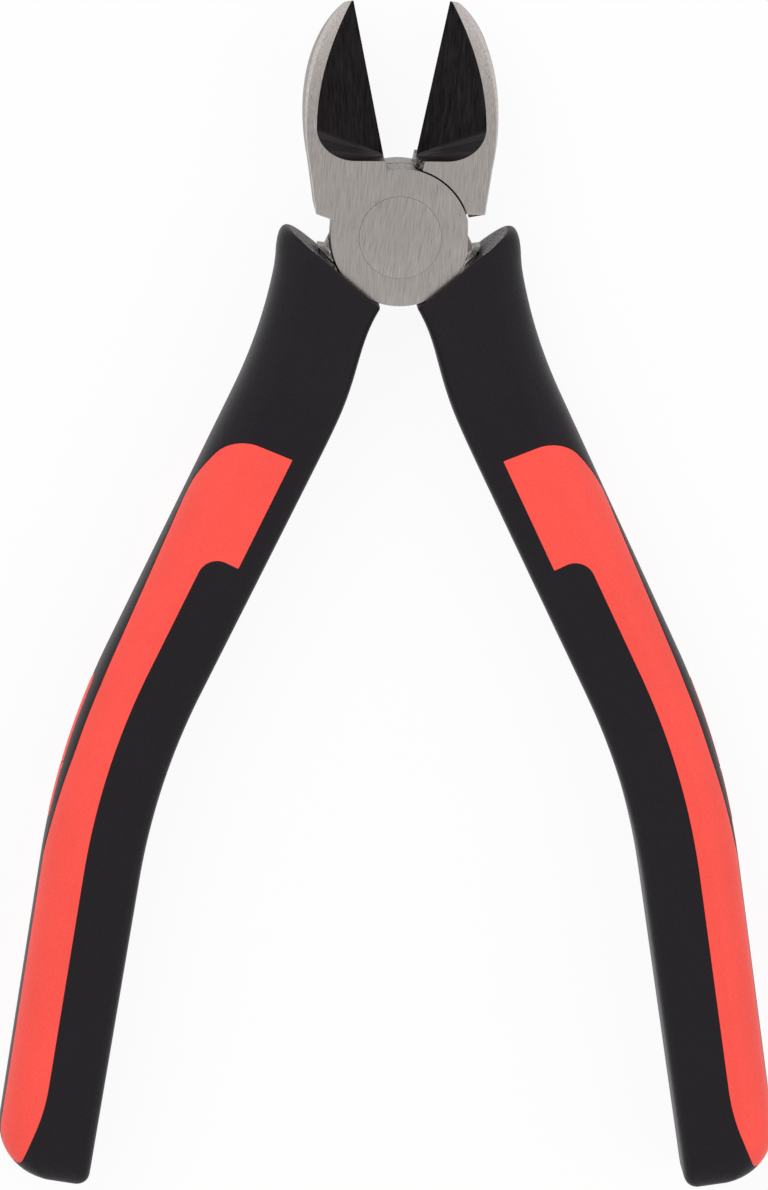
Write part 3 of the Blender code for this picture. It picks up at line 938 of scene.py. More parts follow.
    def make(self, name: str, sections: Sequence[Section], finish: Material) -> Object:
        """Sweeps a closed body through a row of sections.

        Args:
            name: The body's name.
            sections: The sections, from the collar to the tail.
            finish: The body's material.

        Returns:
            The body, with a plain mesh.
        """
        centres = [self.handle.point(s.station, 0.0, 0.0) for s in sections]
        across = [self.handle.across(s.station) for s in sections]
        guide = bpy.data.meshes.new(name)
        guide.from_pydata(centres, [(i, i + 1) for i in range(len(centres) - 1)], [])
        for label, places in (("centre", centres), ("across", across)):
            carried = guide.attributes.new(label, "FLOAT_VECTOR", "POINT")
            carried.data.foreach_set("vector", [number for place in places for number in place])
        for label in ("finger", "palm", "half"):
            carried = guide.attributes.new(label, "FLOAT", "POINT")
            carried.data.foreach_set("value", [getattr(s, label) for s in sections])
        body = link_body(name, guide)
        sweep = body.modifiers.new("handle section sweep", "NODES")
        sweep.node_group = self.tree
        values = {
            "Section Points": self.section_points,
            "Palm Roundness": self.palm_roundness,
            "Finger Roundness": self.finger_roundness,
            "Face Flatness": self.face_flatness,
            "Material": finish,
        }
        for socket in self.tree.interface.items_tree:
            if socket.name in values:
                sweep[socket.identifier] = values[socket.name]
        baked(body)
        for label in ("centre", "across", "finger", "palm", "half", "angle"):
            body.data.attributes.remove(body.data.attributes[label])
        bm = bmesh.new()
        bm.from_mesh(body.data)
        bmesh.ops.recalc_face_normals(bm, faces=bm.faces)
        bm.to_mesh(body.data)
        bm.free()
        return body


@dataclass
class Rivet:
    """The pivot: a shank through both laps with a head at each end, ground flush."""

    finishes: Finishes
    shank_radius: float = 0.004
    head_radius: float = 0.00525
    head_depth: float = 0.0021
    fit: float = 0.00002
    ease: float = 0.00013
    ease_reach: float = 1.01
    tight_share: float = 0.12

    def tighten(self, body: Object) -> None:
        """Closes the seam round the heads towards the handles, where they were peened hardest.

        Args:
            body: The rivet, with its rims eased alike all round.
        """
        rim = JOINT_HALF - self.ease_reach * self.ease
        for vertex in body.data.vertices:
            radius = vertex.co.xy.length
            height = abs(vertex.co.z)
            if height > rim:
                share = taper(self.tight_share, 1.0, smooth((1 + vertex.co.y / radius) / 2))
                vertex.co.xy *= (self.head_radius - (self.head_radius - radius) * share) / radius
                vertex.co.z = math.copysign(JOINT_HALF - (JOINT_HALF - height) * share, vertex.co.z)

    def room(self, radius: float, floor: float) -> Object:
        """The cutter of a hole that takes the rivet, from a floor up past the joint's face."""
        wide = radius + self.fit
        return turned("rivet room", [(wide, floor), (wide, 2 * JOINT_HALF)])

    def build(self) -> list[Object]:
        """Makes the rivet.

        Returns:
            The piece.
        """
        neck = JOINT_HALF - self.head_depth
        front = [(self.shank_radius, neck), (self.head_radius, neck)]
        front += eased_rim(self.head_radius, JOINT_HALF, self.ease)
        profile = [(radius, -z) for radius, z in reversed(front)] + front
        body = turned("pivot_rivet_headed", profile)
        self.tighten(body)
        return [hand_in(body, Half.RIGHT, "steel", (self.finishes.rivet,), "pivot_rivet")]


@dataclass
class Lever:
    """One forging, turned over for the other side: a jaw, half a lap joint and a tang.

    A slope tells a surface from the rest by how far its faces' normals lie along an axis, 0 to 1.
    """

    handle: Handle
    sweep: SectionSweep
    finishes: Finishes
    rivet: Rivet
    lap_radius: float = 0.00885
    lap_gap: float = 0.0003
    lap_clearance: float = 0.0002
    lap_flat: float = 0.00858
    lap_ease: float = 0.0001
    jaw_reach: float = 0.0312
    jaw_tip_blunting: float = 0.0009
    jaw_shoulder: float = 0.011
    jaw_width: float = 0.0096
    jaw_foot_width: float = 0.00995
    jaw_foot: float = 0.00505
    jaw_foot_angle: float = 31.0
    jaw_foot_under_angle: float = 9.0
    jaw_foot_radius: float = 0.0002
    jaw_foot_face_share: float = 0.3
    jaw_tip_overhang: float = 0.0022
    jaw_tip_thickness: float = 0.00054
    jaw_side_slope: float = 0.3
    chamfer: float = 0.00012
    tip_chamfer: float = 0.0006
    chamfer_ease: float = 0.0003
    chamfer_ease_share: float = 0.6
    face_taper_radius: float = 0.0434
    edge_bevel: float = 30.7
    edge_land: float = 0.0002
    edge_clearance: float = 0.00005
    recess_foot: float = 0.0100
    recess_foot_tilt: float = 11.6
    recess_corner_radius: float = 0.0057
    recess_overrun: float = 0.0003
    recess_end_slope: float = 0.999
    throat_relief_width: float = 0.0010
    throat_relief_depth: float = 0.0020
    throat_tear: float = 0.0005
    throat_wall_slope: float = 0.99
    throat_wall_reach: float = 0.00002
    tang_start: float = 0.0009
    tang_stop: float = 0.0012
    tang_stop_station: float = 0.0066
    tang_stop_length: float = 0.0010
    tang_stop_gap: float = 0.0003
    tang_root_length: float = 0.012
    tang_shoulder_length: float = 0.008
    tang_root_inset: float = 0.0023
    tang_inset: float = 0.00355
    tang_taper: float = 0.0012
    tang_end_wall: float = 0.022
    tang_face_slope: float = 0.9
    jaw_steps: int = 48
    jaw_foot_steps: int = 6
    jaw_corner_steps: int = 3
    ramp_steps: int = 28
    throat_steps: int = 20
    throat_points: int = 12
    tang_steps: int = 60
    tang_stop_steps: int = 12

    @property
    def jaw_tip(self) -> float:
        """The level of the jaw's blunt tip."""
        return self.jaw_reach - self.jaw_tip_blunting

    @property
    def lap_room(self) -> float:
        """The radius of the room that a lap turns in."""
        return self.lap_radius + self.lap_clearance

    def foot_level(self, u: float, z: float) -> float:
        """The level of the jaw's foot, which is steeper on the lap's side than on the side below it.

        Args:
            u: The place across the jaw.
            z: The height from the middle plane.

        Returns:
            The level there.
        """
        steep = math.tan(math.radians(self.jaw_foot_angle))
        shallow = math.tan(math.radians(self.jaw_foot_under_angle))
        slope = taper(shallow, steep, (z / JOINT_HALF + 1) / 2)
        return self.jaw_foot - (u + self.jaw_foot_width) * slope

    def jaw_side(self, v: float) -> float:
        """The jaw's side: straight up to the shoulder, then elliptic.

        Args:
            v: The level.

        Returns:
            The jaw's width there.
        """
        if v < self.jaw_shoulder:
            share = (v - self.jaw_foot) / (self.jaw_shoulder - self.jaw_foot)
            return taper(self.jaw_foot_width, self.jaw_width, share)
        share = (v - self.jaw_shoulder) / (self.jaw_reach - self.jaw_shoulder)
        return (self.jaw_width + self.jaw_tip_overhang) * math.sqrt(1 - share**2) - self.jaw_tip_overhang

    def jaw_half(self, v: float) -> float:
        """The jaw's face, on an arc that starts flush with the joint.

        Args:
            v: The level.

        Returns:
            Half the jaw's thickness there.
        """
        radius = self.face_taper_radius
        drop = JOINT_HALF - self.jaw_tip_thickness / 2
        start = self.jaw_tip - math.sqrt(drop * (2 * radius - drop))
        return JOINT_HALF - drawn_in(radius + start - v, radius)

    def jaw_ring(self, side: float, half: float, chamfer: float) -> list[Vector]:
        """A section of the jaw, whose outer edges are chamfered and eased.

        Args:
            side: The jaw's width.
            half: Half its thickness.
            chamfer: The width of its chamfers.

        Returns:
            The ring of points, u and z of each.
        """
        wall = -self.edge_clearance
        edge = min(chamfer, half / 2, (side + wall) / 2)
        ease = min(self.chamfer_ease, edge * self.chamfer_ease_share)
        corners = (
            (wall, -half, 0.0),
            (edge - side, -half, ease),
            (-side, edge - half, ease),
            (-side, half - edge, ease),
            (edge - side, half, ease),
            (wall, half, 0.0),
        )
        return filleted(corners, self.jaw_corner_steps)

    def jaw_blank(self) -> Object:
        """The jaw before its cutting edge is ground.

        Returns:
            The body.
        """
        radius = self.jaw_foot_radius
        rings = []
        for angle in row(0.0, math.pi / 2, self.jaw_foot_steps):
            rise = radius * (1 - math.cos(angle))
            inset = drawn_in(rise, radius)
            side = self.jaw_foot_width - inset
            half = JOINT_HALF - inset * self.jaw_foot_face_share
            ring = self.jaw_ring(side, half, self.chamfer)
            rings.append([(u, self.foot_level(u, z) + rise, z) for u, z in ring])
        span = self.jaw_reach - self.jaw_shoulder
        top = math.asin((self.jaw_tip - self.jaw_shoulder) / span)
        low = row(self.jaw_foot + CUT_MARGIN, self.jaw_shoulder, self.jaw_foot_steps)[:-1]
        high = [self.jaw_shoulder + span * math.sin(angle) for angle in row(0.0, top, self.jaw_steps)]
        for v in (*low, *high):
            share = smooth((v - self.jaw_shoulder) / (self.jaw_tip - self.jaw_shoulder))
            chamfer = taper(self.chamfer, self.tip_chamfer, share)
            ring = self.jaw_ring(self.jaw_side(v), self.jaw_half(v), chamfer)
            rings.append([(u, v, z) for u, z in ring])
        return loft("jaw", rings)

    def edge_recess(self, face: Face) -> Object:
        """The cutter of one bevel: a flat ground plane, run out by a ramp that fans from the edge.

        Args:
            face: The face of the lever that it is ground into.

        Returns:
            The cutter.
        """
        slope = math.tan(math.radians(self.edge_bevel))
        past = self.recess_overrun
        low = self.edge_land / 2 - (past + self.edge_clearance) * slope
        sky = JOINT_HALF + CUT_MARGIN
        tip = self.jaw_reach + CUT_MARGIN
        tilt = math.radians(self.recess_foot_tilt)
        apex = Vector((past, self.recess_foot - past * math.tan(tilt)))
        radius = self.recess_corner_radius
        centre_u = past - (JOINT_HALF - low) / slope + radius
        centre_v = self.recess_foot + radius / math.cos(tilt) - centre_u * math.tan(tilt)
        reach = (sky - low) / (JOINT_HALF - low)
        bm = bmesh.new()

        def place(u: float, v: float, z: float) -> bmesh.types.BMVert:
            """A corner of the cutter, on this face of the jaw."""
            return bm.verts.new((u, v, face.value * z))

        fan = []
        for angle in row(math.pi, 3 * math.pi / 2 - tilt, self.ramp_steps):
            rim = Vector((centre_u + radius * math.cos(angle), centre_v + radius * math.sin(angle)))
            fan.append(place(*(apex + (rim - apex) * reach), sky))
        base = place(*apex, low)
        edge_end = place(past, tip, low)
        rim_end = place(past - (sky - low) / slope, tip, sky)
        foot_end = place(past, apex.y, sky)
        tip_top = place(past, tip, sky)
        bm.faces.new((base, edge_end, rim_end, fan[0]))
        ramp = [bm.faces.new((base, first, second)) for first, second in zip(fan, (*fan[1:], foot_end))]
        bm.faces.new((base, foot_end, tip_top, edge_end))
        bm.faces.new((edge_end, tip_top, rim_end))
        bm.faces.new((rim_end, tip_top, foot_end, *reversed(fan)))
        bm.faces.index_update()
        ramp_faces = {part.index for part in ramp}
        cutter = solid("edge recess", bm, Surface.BEVEL)
        mark(cutter, Surface.RAMP, lambda part: part.index in ramp_faces)
        mark(cutter, Surface.FORGED, lambda part: abs(part.normal.y) > self.recess_end_slope)
        return cutter

    def throat_relief(self) -> Object:
        """The cutter that tore the throat's corner, on the side that the other lap covers.

        Returns:
            The cutter, with a wavy face.
        """
        past = CUT_MARGIN
        floor = -JOINT_HALF - past
        slope = self.throat_relief_depth / self.throat_relief_width
        top = self.throat_relief_depth + past * slope - JOINT_HALF
        wide = self.throat_relief_width + past / slope
        end = self.recess_foot + self.throat_relief_width
        rings = []
        for v in row(self.lap_radius - past, end, self.throat_steps):
            ring = [Vector((past, v, floor))]
            for share in row(0.0, 1.0, self.throat_points):
                place = Vector((taper(past, -wide, share), v, taper(top, floor, share)))
                tear = noise.noise(place / self.throat_tear) * self.throat_tear
                ring.append(place + Vector((tear, 0.0, tear)))
            rings.append(ring)
        return loft("throat relief", rings, Surface.TORN_AND_SHADED)

    def lap_side(self) -> Object:
        """The cutter that ground the lap's outer side flat, square across the open tool.

        Returns:
            The cutter.
        """
        reach = 2 * self.lap_radius
        rings = [[(x, a * reach, b * reach) for a, b in SQUARE] for x in (self.lap_flat, reach)]
        body = loft("lap side", rings, Surface.SCOURED_SIDE_AND_SHADED_RIM)
        body.data.transform(Matrix.Rotation(math.radians(-REST_OPENING / 2), 4, "Z"))
        return body

    def lap(self) -> Object:
        """The half lap that the other lever's lap turns on.

        Returns:
            The body.
        """
        rim = eased_rim(self.lap_radius, JOINT_HALF, self.lap_ease)
        # the eased rim counts as side, so it takes the darker scoured grey: painted shade along the lap's
        # edge
        body = turned("lap", [(self.lap_radius, self.lap_gap / 2), *rim], Surface.SCOURED_SIDE_AND_SHADED_RIM)
        return combine(dress(body, self.finishes.lever), self.lap_side(), Cut.REMOVE)

    def tang(self) -> Object:
        """The tang, full at its root and slim past its shoulder.

        Returns:
            The body.
        """
        shank = self.tang_root_length + self.tang_shoulder_length
        end = self.handle.end - self.tang_end_wall
        stop_end = self.handle.collar - 2 * self.tang_stop_gap
        places = row(self.tang_start, end, self.tang_steps)
        places += row(self.tang_stop_station, stop_end, self.tang_stop_steps)
        sections = []
        for station in sorted({*places, stop_end + self.tang_stop_gap}):
            share = smooth((station - self.tang_root_length) / self.tang_shoulder_length)
            slim = self.tang_taper * max(0.0, station - shank) / (end - shank)
            depth = taper(self.tang_root_inset, self.tang_inset, share) + slim
            plain = self.handle.inset(station, depth)
            stop = self.tang_stop * smooth((station - self.tang_stop_station) / self.tang_stop_length)
            sections.append(replace(plain, palm=plain.palm + (stop if station <= stop_end else 0.0)))
        body = self.sweep.make("tang", sections, self.finishes.lever[Surface.GROUND])
        dress(body, self.finishes.lever)
        mark(body, Surface.FORGED, lambda face: abs(face.normal.z) < self.tang_face_slope)
        return body

    def in_throat(self, face: MeshPolygon) -> bool:
        """Whether a face of the jaw lies on the wall that the two jaws close on."""
        near = abs(face.center.x + self.edge_clearance) < self.throat_wall_reach
        return near and face.normal.x > self.throat_wall_slope

    def forging(self) -> Object:
        """The whole lever in its closed frame.

        Returns:
            The body, with a material index for each of its surfaces.
        """
        body = dress(self.jaw_blank(), self.finishes.lever)
        mark(body, Surface.SCOURED_SIDE_AND_SHADED_RIM, lambda face: abs(face.normal.z) < self.jaw_side_slope)
        for face in Face:
            combine(body, self.edge_recess(face), Cut.REMOVE)
        combine(body, self.throat_relief(), Cut.REMOVE)
        # the wall where the jaws close takes the torn finish, so its darker tone is painted shade between
        # the jaws
        mark(body, Surface.TORN_AND_SHADED, self.in_throat)
        combine(body, self.tang(), Cut.JOIN)
        room = [(self.lap_room, -JOINT_HALF - CUT_MARGIN), (self.lap_room, self.lap_gap / 2)]
        combine(body, turned("lap room", room, Surface.SCOURED_SIDE_AND_SHADED_RIM), Cut.REMOVE)
        combine(body, self.lap(), Cut.JOIN)
        rivet = self.rivet
        combine(body, rivet.room(rivet.shank_radius, -JOINT_HALF), Cut.REMOVE)
        seat = JOINT_HALF - rivet.head_depth - rivet.fit
        return combine(body, rivet.room(rivet.head_radius, seat), Cut.REMOVE)

    def build(self) -> list[Object]:
        """Makes both levers.

        Returns:
            The pieces.
        """
        front = self.forging()
        front.name = "front_lever_forging"
        rear = copy_of(front, "rear_lever_forging")
        return [
            hand_in(front, Half.RIGHT, "steel", self.finishes.lever, "front_lever"),
            hand_in(rear, Half.LEFT, "steel", self.finishes.lever, "rear_lever"),
        ]


@dataclass
class Grip:
    """A moulded grip: a black skin with windows for two red face inlays and a red spine pad."""

    handle: Handle
    sweep: SectionSweep
    finishes: Finishes
    lap_room: float
    skin_wall: float = 0.00195
    fit_gap: float = 0.0003
    seam: float = 0.00007
    ear_flare: float = 0.0042
    ear_length: float = 0.020
    ear_hollow: float = 2.2
    ear_lip: float = 0.0016
    ear_lip_length: float = 0.0046
    ear_lip_hollow: float = 1.5
    ear_radius: float = 0.0039
    # where the painted highlight lies on the ear's end
    ear_highlight_start: float = 0.0099
    ear_highlight_depth: float = 0.014
    ear_highlight_slope: float = 0.95
    collar_edge_radius: float = 0.0004
    collar_face_drop: float = 0.00125
    collar_face_fade: float = 0.016
    tail_palm_radius: float = 0.0065
    tail_finger_radius: float = 0.0017
    tail_face_radius: float = 0.003
    tail_wall: float = 0.0035
    inlay_top: float = 0.0319
    inlay_top_lean: float = 0.0005
    inlay_step: float = 0.0470
    inlay_tail_margin: float = 0.0018
    inlay_upper_rim: float = 0.0001
    inlay_bend_rim: float = 0.00085
    inlay_lower_rim: float = 0.0001
    inlay_rim_radius: float = 0.05
    inlay_floor: float = 0.0028
    inlay_top_radius: float = 0.0048
    inlay_shoulder: float = 0.0071
    inlay_shoulder_drop: float = 0.0018
    inlay_shoulder_radius: float = 0.022
    inlay_corner_radius: float = 0.00015
    pad_edge: float = 0.0034
    strip_edge: float = 0.00095
    strip_end_edge: float = 0.0029
    strip_end_radius: float = 0.0006
    strip_bend_radius: float = 0.025
    strip_end_length: float = 0.0075
    step_radius: float = 0.0026
    spine_station: float = 0.077
    spine_length: float = 0.018
    spine_width: float = 0.0034
    spine_radius: float = 0.0016
    spine_rise: float = 0.00005
    spine_groove_place: float = 0.0025
    spine_groove_floor: float = 0.0004
    spine_groove_depth: float = 0.0002
    section_step: float = 0.0011
    outline_step: float = 0.0012
    end_steps: int = 16
    cavity_steps: int = 70
    inlay_corner_steps: int = 12
    spine_corner_steps: int = 10

    def stations(self) -> list[float]:
        """The stations of the outside's sections, closest where its two ends round off.

        Returns:
            Stations from the collar to the tail.
        """
        turns = row(0.0, math.pi / 2, self.end_steps)
        collar = [self.handle.collar + self.ear_radius * (1 - math.cos(a)) for a in turns]
        tail = [self.handle.end - self.tail_palm_radius * (1 - math.sin(a)) for a in turns]
        count = round((tail[0] - collar[-1]) / self.section_step)
        return [*collar, *row(collar[-1], tail[0], count)[1:-1], *tail]

    def section(self, station: float, rise: float) -> Section:
        """A section of the grip's outside.

        Args:
            station: Where it stands.
            rise: How far it stands proud of the skin.

        Returns:
            The section, with its ear and its rounded ends.
        """
        handle = self.handle
        collar = (station - handle.collar) * math.cos(handle.collar_lean)
        tail = handle.end - station
        fade = max(0.0, 1 - (station - handle.collar) / self.ear_length)
        lip = max(0.0, 1 - (station - handle.collar) / self.ear_lip_length)
        palm = handle.half_width(station) + self.ear_flare * fade**self.ear_hollow
        palm += self.ear_lip * lip**self.ear_lip_hollow
        palm -= drawn_in(collar, self.ear_radius) + drawn_in(tail, self.tail_palm_radius)
        finger = handle.pinch(station) - handle.half_width(station)
        finger += drawn_in(collar, self.collar_edge_radius) + drawn_in(tail, self.tail_finger_radius)
        sunk = 1 - smooth((station - handle.collar) / self.collar_face_fade)
        half = handle.half_thickness - self.collar_face_drop * sunk
        half -= drawn_in(collar, self.collar_edge_radius) + drawn_in(tail, self.tail_face_radius)
        return Section(station, finger - rise, palm + rise, half + rise)

    def shell(self, name: str, rise: float = 0.0) -> Object:
        """The grip's outside, hollowed for its liner and cleared for the joint beside it.

        Args:
            name: The body's name.
            rise: How far it stands proud of the skin.

        Returns:
            The body.
        """
        skin = self.finishes.skin
        body = self.sweep.make(name, [self.section(s, rise) for s in self.stations()], skin)
        places = row(self.handle.collar - CUT_MARGIN, self.handle.end - self.tail_wall, self.cavity_steps)
        inside = [self.handle.inset(station, self.skin_wall) for station in places]
        combine(body, self.sweep.make("cavity", inside, skin), Cut.REMOVE)
        lip = JOINT_HALF + self.fit_gap
        return combine(body, turned("joint room", [(self.lap_room, -lip), (self.lap_room, lip)]), Cut.REMOVE)

    def inlay_outline(self, grow: float) -> list[Vector]:
        """The outline of a face inlay: a wide pad above a narrow strip.

        Args:
            grow: How far it is grown all round.

        Returns:
            Points of station and offset.
        """
        handle = self.handle
        end = handle.end - self.inlay_tail_margin
        spine = self.spine_station
        palm_top = handle.half_width(self.inlay_top) - self.inlay_upper_rim + grow
        palm_bend = handle.half_width(spine) - self.inlay_bend_rim + grow
        palm_low = handle.half_width(handle.bend_end) - self.inlay_lower_rim + grow
        palm_end = handle.half_width(end) - self.inlay_lower_rim + grow
        strip = self.strip_edge - grow
        outer = self.inlay_corner_radius + grow
        corners = (
            (self.inlay_top - self.inlay_top_lean - grow, -self.pad_edge - grow, outer),
            (self.inlay_top - grow, palm_top - self.inlay_shoulder_drop, self.inlay_top_radius + grow),
            (self.inlay_top + self.inlay_shoulder, palm_top, self.inlay_shoulder_radius),
            (spine - self.spine_length / 2, palm_bend, self.inlay_rim_radius),
            (spine, palm_bend, self.inlay_rim_radius),
            (handle.bend_end, palm_low, self.inlay_rim_radius),
            (end + grow, palm_end, outer),
            (end + grow, self.strip_end_edge - grow, self.strip_end_radius + grow),
            (end - self.strip_end_length, strip, self.strip_bend_radius),
            (self.inlay_step + grow, strip, self.step_radius - grow),
            (self.inlay_step + grow, -self.pad_edge - grow, outer),
        )
        return spaced(filleted(corners, self.inlay_corner_steps), self.outline_step)

    def inlay_room(self, face: Face, grow: float) -> Object:
        """The room of a face inlay, from its floor out past the grip's face.

        Args:
            face: The face that it opens on.
            grow: How far it is grown all round.

        Returns:
            The body.
        """
        outline = self.inlay_outline(grow)
        floor = face.value * (self.inlay_floor - grow)
        sky = face.value * (self.handle.half_thickness + CUT_MARGIN)
        rings = [[self.handle.point(s, d, z) for s, d in outline] for z in (floor, sky)]
        return loft("inlay room", rings)

    def spine_room(self, grow: float) -> Object:
        """The room of the spine pad, from inside the cavity out past the palm side.

        Args:
            grow: How far it is grown all round.

        Returns:
            The body.
        """
        station = self.spine_station
        long = self.spine_length / 2 + grow
        high = self.spine_width / 2 + grow
        corners = [(a * long, b * high, self.spine_radius + grow) for a, b in SQUARE]
        outline = spaced(filleted(corners, self.spine_corner_steps), self.outline_step)
        inside = self.handle.half_width(station) - self.skin_wall - CUT_MARGIN
        outside = self.handle.half_width(station) + self.spine_rise + CUT_MARGIN
        rings = [[self.handle.point(station + s, d, z) for s, z in outline] for d in (inside, outside)]
        return loft("spine room", rings)

    def spine_groove(self) -> Object:
        """The cutter of the shallow groove across the spine pad.

        Returns:
            The cutter, with flanks at 45 degrees.
        """
        station = self.spine_station + self.spine_groove_place
        floor = self.handle.half_width(station) + self.spine_rise - self.spine_groove_depth
        sky = self.handle.half_width(station) + self.spine_rise + CUT_MARGIN
        half = self.spine_groove_floor / 2
        top = half + sky - floor
        corners = ((-half, floor), (half, floor), (top, sky), (-top, sky))
        ends = (-self.spine_width, self.spine_width)
        rings = [[self.handle.point(station + s, d, z) for s, d in corners] for z in ends]
        return loft("spine groove", rings)

    def paint_ear_end_highlight(self, skin: Object) -> None:
        """Gives the ear's flat end a pale speckled grey, a painted highlight over its moulded grain.

        Args:
            skin: The skin, whose collar ends in a flat face.
        """
        lean = math.radians(self.handle.collar_slant)
        end = Vector((-math.sin(lean), math.cos(lean), 0.0))
        bm = bmesh.new()
        bm.from_mesh(skin.data)
        facing = [face for face in bm.faces if face.normal.dot(end) > self.ear_highlight_slope]
        flat = [face for face in facing if face.verts[0].co.y > -self.ear_highlight_depth]
        rim = {edge for face in flat for edge in face.edges}
        corners = {corner for edge in rim for corner in edge.verts}
        across = {"plane_co": (self.ear_highlight_start, 0.0, 0.0), "plane_no": (1.0, 0.0, 0.0)}
        bmesh.ops.bisect_plane(bm, geom=[*flat, *rim, *corners], **across)
        bm.to_mesh(skin.data)
        bm.free()

        def on_ear_end(face: MeshPolygon) -> bool:
            """Whether a face lies on the ear's flat end."""
            return face.center.x > self.ear_highlight_start and face.normal.dot(end) > self.ear_highlight_slope

        mark(skin, Skin.PAINTED_END_HIGHLIGHT, on_ear_end)

    def build(self) -> list[Object]:
        """Makes both grips, each piece once and a copy for each half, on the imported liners.

        Returns:
            The pieces.
        """
        black = (self.finishes.skin, self.finishes.collar)
        red = (self.finishes.inlay,)
        shell = self.shell("grip shell")
        inlays = {}
        for face in Face:
            inlays[face] = combine(copy_of(shell, "inlay"), self.inlay_room(face, 0.0), Cut.KEEP)
        skin = dress(shell, black)
        self.paint_ear_end_highlight(skin)
        for face in Face:
            combine(skin, self.inlay_room(face, self.seam), Cut.REMOVE)
        combine(skin, self.spine_room(self.seam), Cut.REMOVE)
        pad = combine(self.shell("pad", self.spine_rise), self.spine_room(0.0), Cut.KEEP)
        combine(pad, self.spine_groove(), Cut.REMOVE)
        pieces = []
        for half in Half:
            side = half.side
            moulding = copy_of(skin, f"{side}_skin_moulding")
            pieces.append(hand_in(moulding, half, "black_grip", black, f"{side}_grip_skin"))
            for face, inlay in inlays.items():
                way = face.name_on(half)
                filled = copy_of(inlay, f"{side}_{way}_face_inlay")
                pieces.append(hand_in(filled, half, "red_inlay", red, f"{side}_inlay_{way}"))
            insert = copy_of(pad, f"{side}_spine_insert")
            pieces.append(hand_in(insert, half, "red_inlay", red, f"{side}_spine_pad"))
            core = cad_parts[f"{side}_grip_core"]
            core.data.materials.clear()
            core.data.materials.append(self.finishes.liner)
            pieces.append(core)
        for body in (skin, pad, *inlays.values()):
            bpy.data.objects.remove(body)
        return pieces


@dataclass(frozen=True)
class Lamp:
    """A square soft box: where it hangs, the length of its side and its power in watts."""

    name: str
    place: Triple
    size: float
    power: float


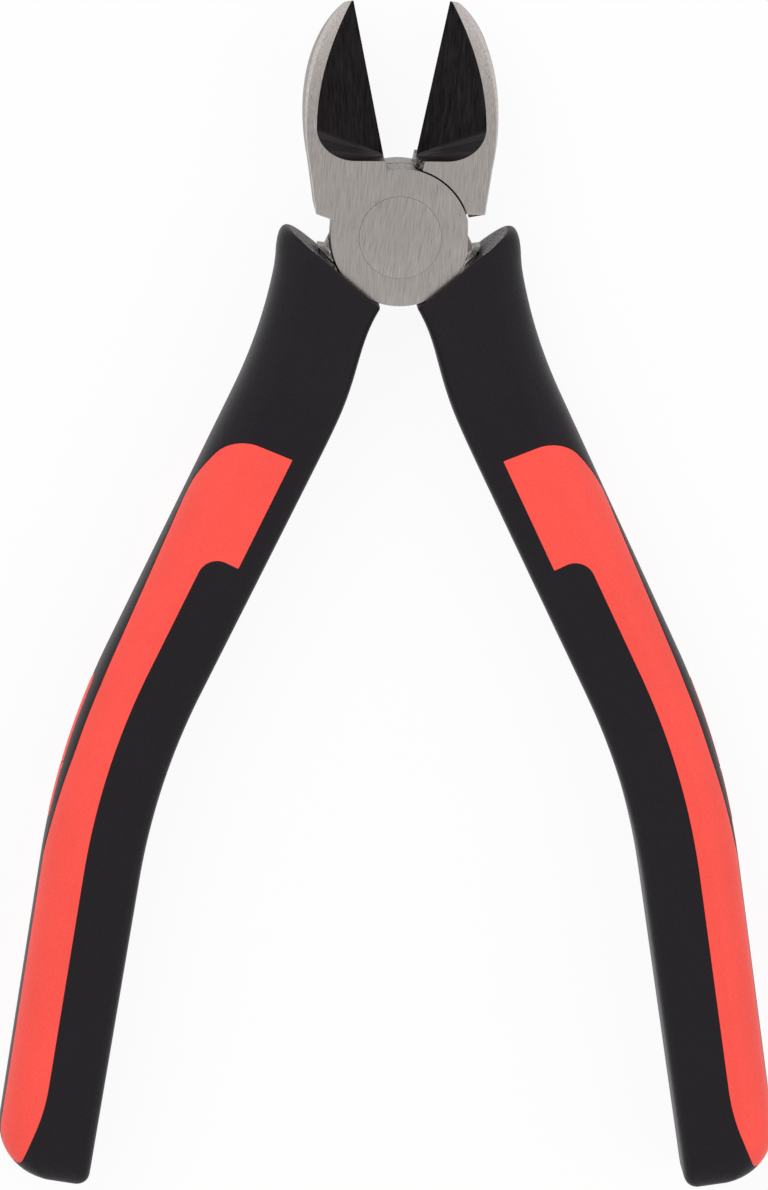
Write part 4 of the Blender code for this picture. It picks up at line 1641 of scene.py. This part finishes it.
@dataclass
class Studio:
    """A white table under soft light, and the camera that looks down on it."""

    aim: Triple = (-0.00121, -0.04700, 0.005)
    distance: float = 2.5
    view_width: float = 0.0981
    view_depth: float = 20.0
    tilt: float = 10.0
    lean: float = 2.6
    roll: float = 0.8
    sensor: float = 36.0
    white: tuple[float, ...] = (1.0, 1.0, 1.0, 1.0)
    floor_level: float = -0.00226
    floor_size: float = 3.0
    floor_colour: str = "#F4F4F3"
    floor_roughness: float = 0.9
    floor_glow: float = 0.92
    ambient: float = 0.58
    ceiling_window: Pair = (0.66, 0.95)
    ceiling_levels: Pair = (1.0, 0.545)
    lamps: tuple[Lamp, ...] = (
        Lamp("key_softbox", (-0.55, 0.55, 1.1), 0.9, 7.0),
        Lamp("fill_softbox", (0.8, -0.2, 0.9), 0.9, 3.5),
    )

    def build(self) -> None:
        """Sets up the camera, the floor, the surroundings and the lamps."""
        bpy.context.scene.view_settings.view_transform = "Standard"
        self.camera()
        self.floor()
        self.surroundings()
        for lamp in self.lamps:
            self.hang(lamp)

    def camera(self) -> None:
        """Places the camera at the photograph's viewing angle."""
        lens = bpy.data.cameras.new("table_camera")
        lens.sensor_fit = "HORIZONTAL"
        lens.sensor_width = self.sensor
        lens.lens = self.sensor * self.distance / self.view_width
        lens.clip_end = self.view_depth
        slopes = [math.tan(math.radians(angle)) for angle in (-self.lean, self.tilt)]
        back = Vector((*slopes, 1.0)).normalized()
        up = (Vector((0.0, 1.0, 0.0)) - back * back.y).normalized()
        right = up.cross(back)
        roll = Matrix.Rotation(math.radians(self.roll), 3, "Z")
        turn = Matrix((right, up, back)).transposed() @ roll
        stand = bpy.data.objects.new("table_camera", lens)
        stand.matrix_world = Matrix.Translation(Vector(self.aim) + back * self.distance) @ turn.to_4x4()
        bpy.context.scene.collection.objects.link(stand)
        bpy.context.scene.camera = stand

    def seen(self, tree: NodeTree) -> Source:
        """Finds where the eye or a reflection sees the studio.

        Args:
            tree: The tree that takes the nodes.

        Returns:
            What is 1 there, and 0 where the studio only lights the tool.
        """
        path = add_node(tree, "ShaderNodeLightPath").outputs
        seen = path["Is Camera Ray"]
        for ray in ("Is Glossy Ray", "Is Transmission Ray"):
            seen = add_node(tree, MATH_NODE, {0: seen, 1: path[ray]}, operation="MAXIMUM")
        return seen

    def floor(self) -> None:
        """Lays a white table top that keeps a soft shadow of the tool."""
        reach = self.floor_size / 2
        mesh = bpy.data.meshes.new("white_table")
        mesh.from_pydata([(x * reach, y * reach, self.floor_level) for x, y in SQUARE], [], [(0, 1, 2, 3)])
        table = link_body("white_table", mesh)
        material = bpy.data.materials.new("white_laminate_table")
        material.use_nodes = True
        tree = material.node_tree
        matt = {"Roughness": self.floor_roughness, "Specular IOR Level": 0.0}
        shader = feed(tree.nodes["Principled BSDF"], {"Base Color": linear(self.floor_colour), **matt})
        glow = add_node(tree, "ShaderNodeEmission", {"Color": self.white, "Strength": 1.0})
        share = add_node(tree, MATH_NODE, {0: self.seen(tree), 1: self.floor_glow}, operation="MULTIPLY")
        top = add_node(tree, "ShaderNodeMixShader", {0: share, 1: shader, 2: glow})
        feed(tree.nodes["Material Output"], {"Surface": top})
        mesh.materials.append(material)

    def surroundings(self) -> None:
        """Lights the tool evenly from all round, with a darker ceiling in its reflections."""
        world = bpy.data.worlds.new("white_studio")
        bpy.context.scene.world = world
        world.use_nodes = True
        tree = world.node_tree
        direction = add_node(tree, "ShaderNodeTexCoord").outputs["Generated"]
        height = add_node(tree, "ShaderNodeSeparateXYZ", {0: direction}).outputs["Z"]
        levels = limits(*self.ceiling_window, *self.ceiling_levels)
        ceiling = add_node(tree, RANGE_NODE, {"Value": height, **levels})
        strength = add_node(tree, "ShaderNodeMix", {0: self.seen(tree), 2: self.ambient, 3: ceiling})
        feed(tree.nodes["Background"], {"Color": self.white, "Strength": strength})

    def hang(self, lamp: Lamp) -> None:
        """Hangs a soft box that points at the tool, and that no reflection shows.

        Args:
            lamp: The soft box.
        """
        light = bpy.data.lights.new(lamp.name, "AREA")
        light.size = lamp.size
        light.energy = lamp.power
        stand = bpy.data.objects.new(lamp.name, light)
        stand.visible_glossy = False
        turn = (Vector(self.aim) - Vector(lamp.place)).to_track_quat("-Z", "Y")
        stand.matrix_world = Matrix.Translation(lamp.place) @ turn.to_matrix().to_4x4()
        bpy.context.scene.collection.objects.link(stand)


def main() -> None:
    """Builds the tool's sub-assemblies in order, then the studio."""
    logging.basicConfig(level=logging.INFO, format="%(name)s: %(message)s")
    finishes = Finishes()
    handle = Handle()
    sweep = SectionSweep(handle)
    rivet = Rivet(finishes)
    lever = Lever(handle, sweep, finishes, rivet)
    for assembly in (lever, rivet, Grip(handle, sweep, finishes, lever.lap_room)):
        for piece in assembly.build():
            triangles = sum(len(face.vertices) - 2 for face in piece.data.polygons)
            LOG.info("%s: %d triangles of %s", piece.name, triangles, piece.data.materials[0].name)
    Studio().build()


if __name__ == "__main__":
    main()
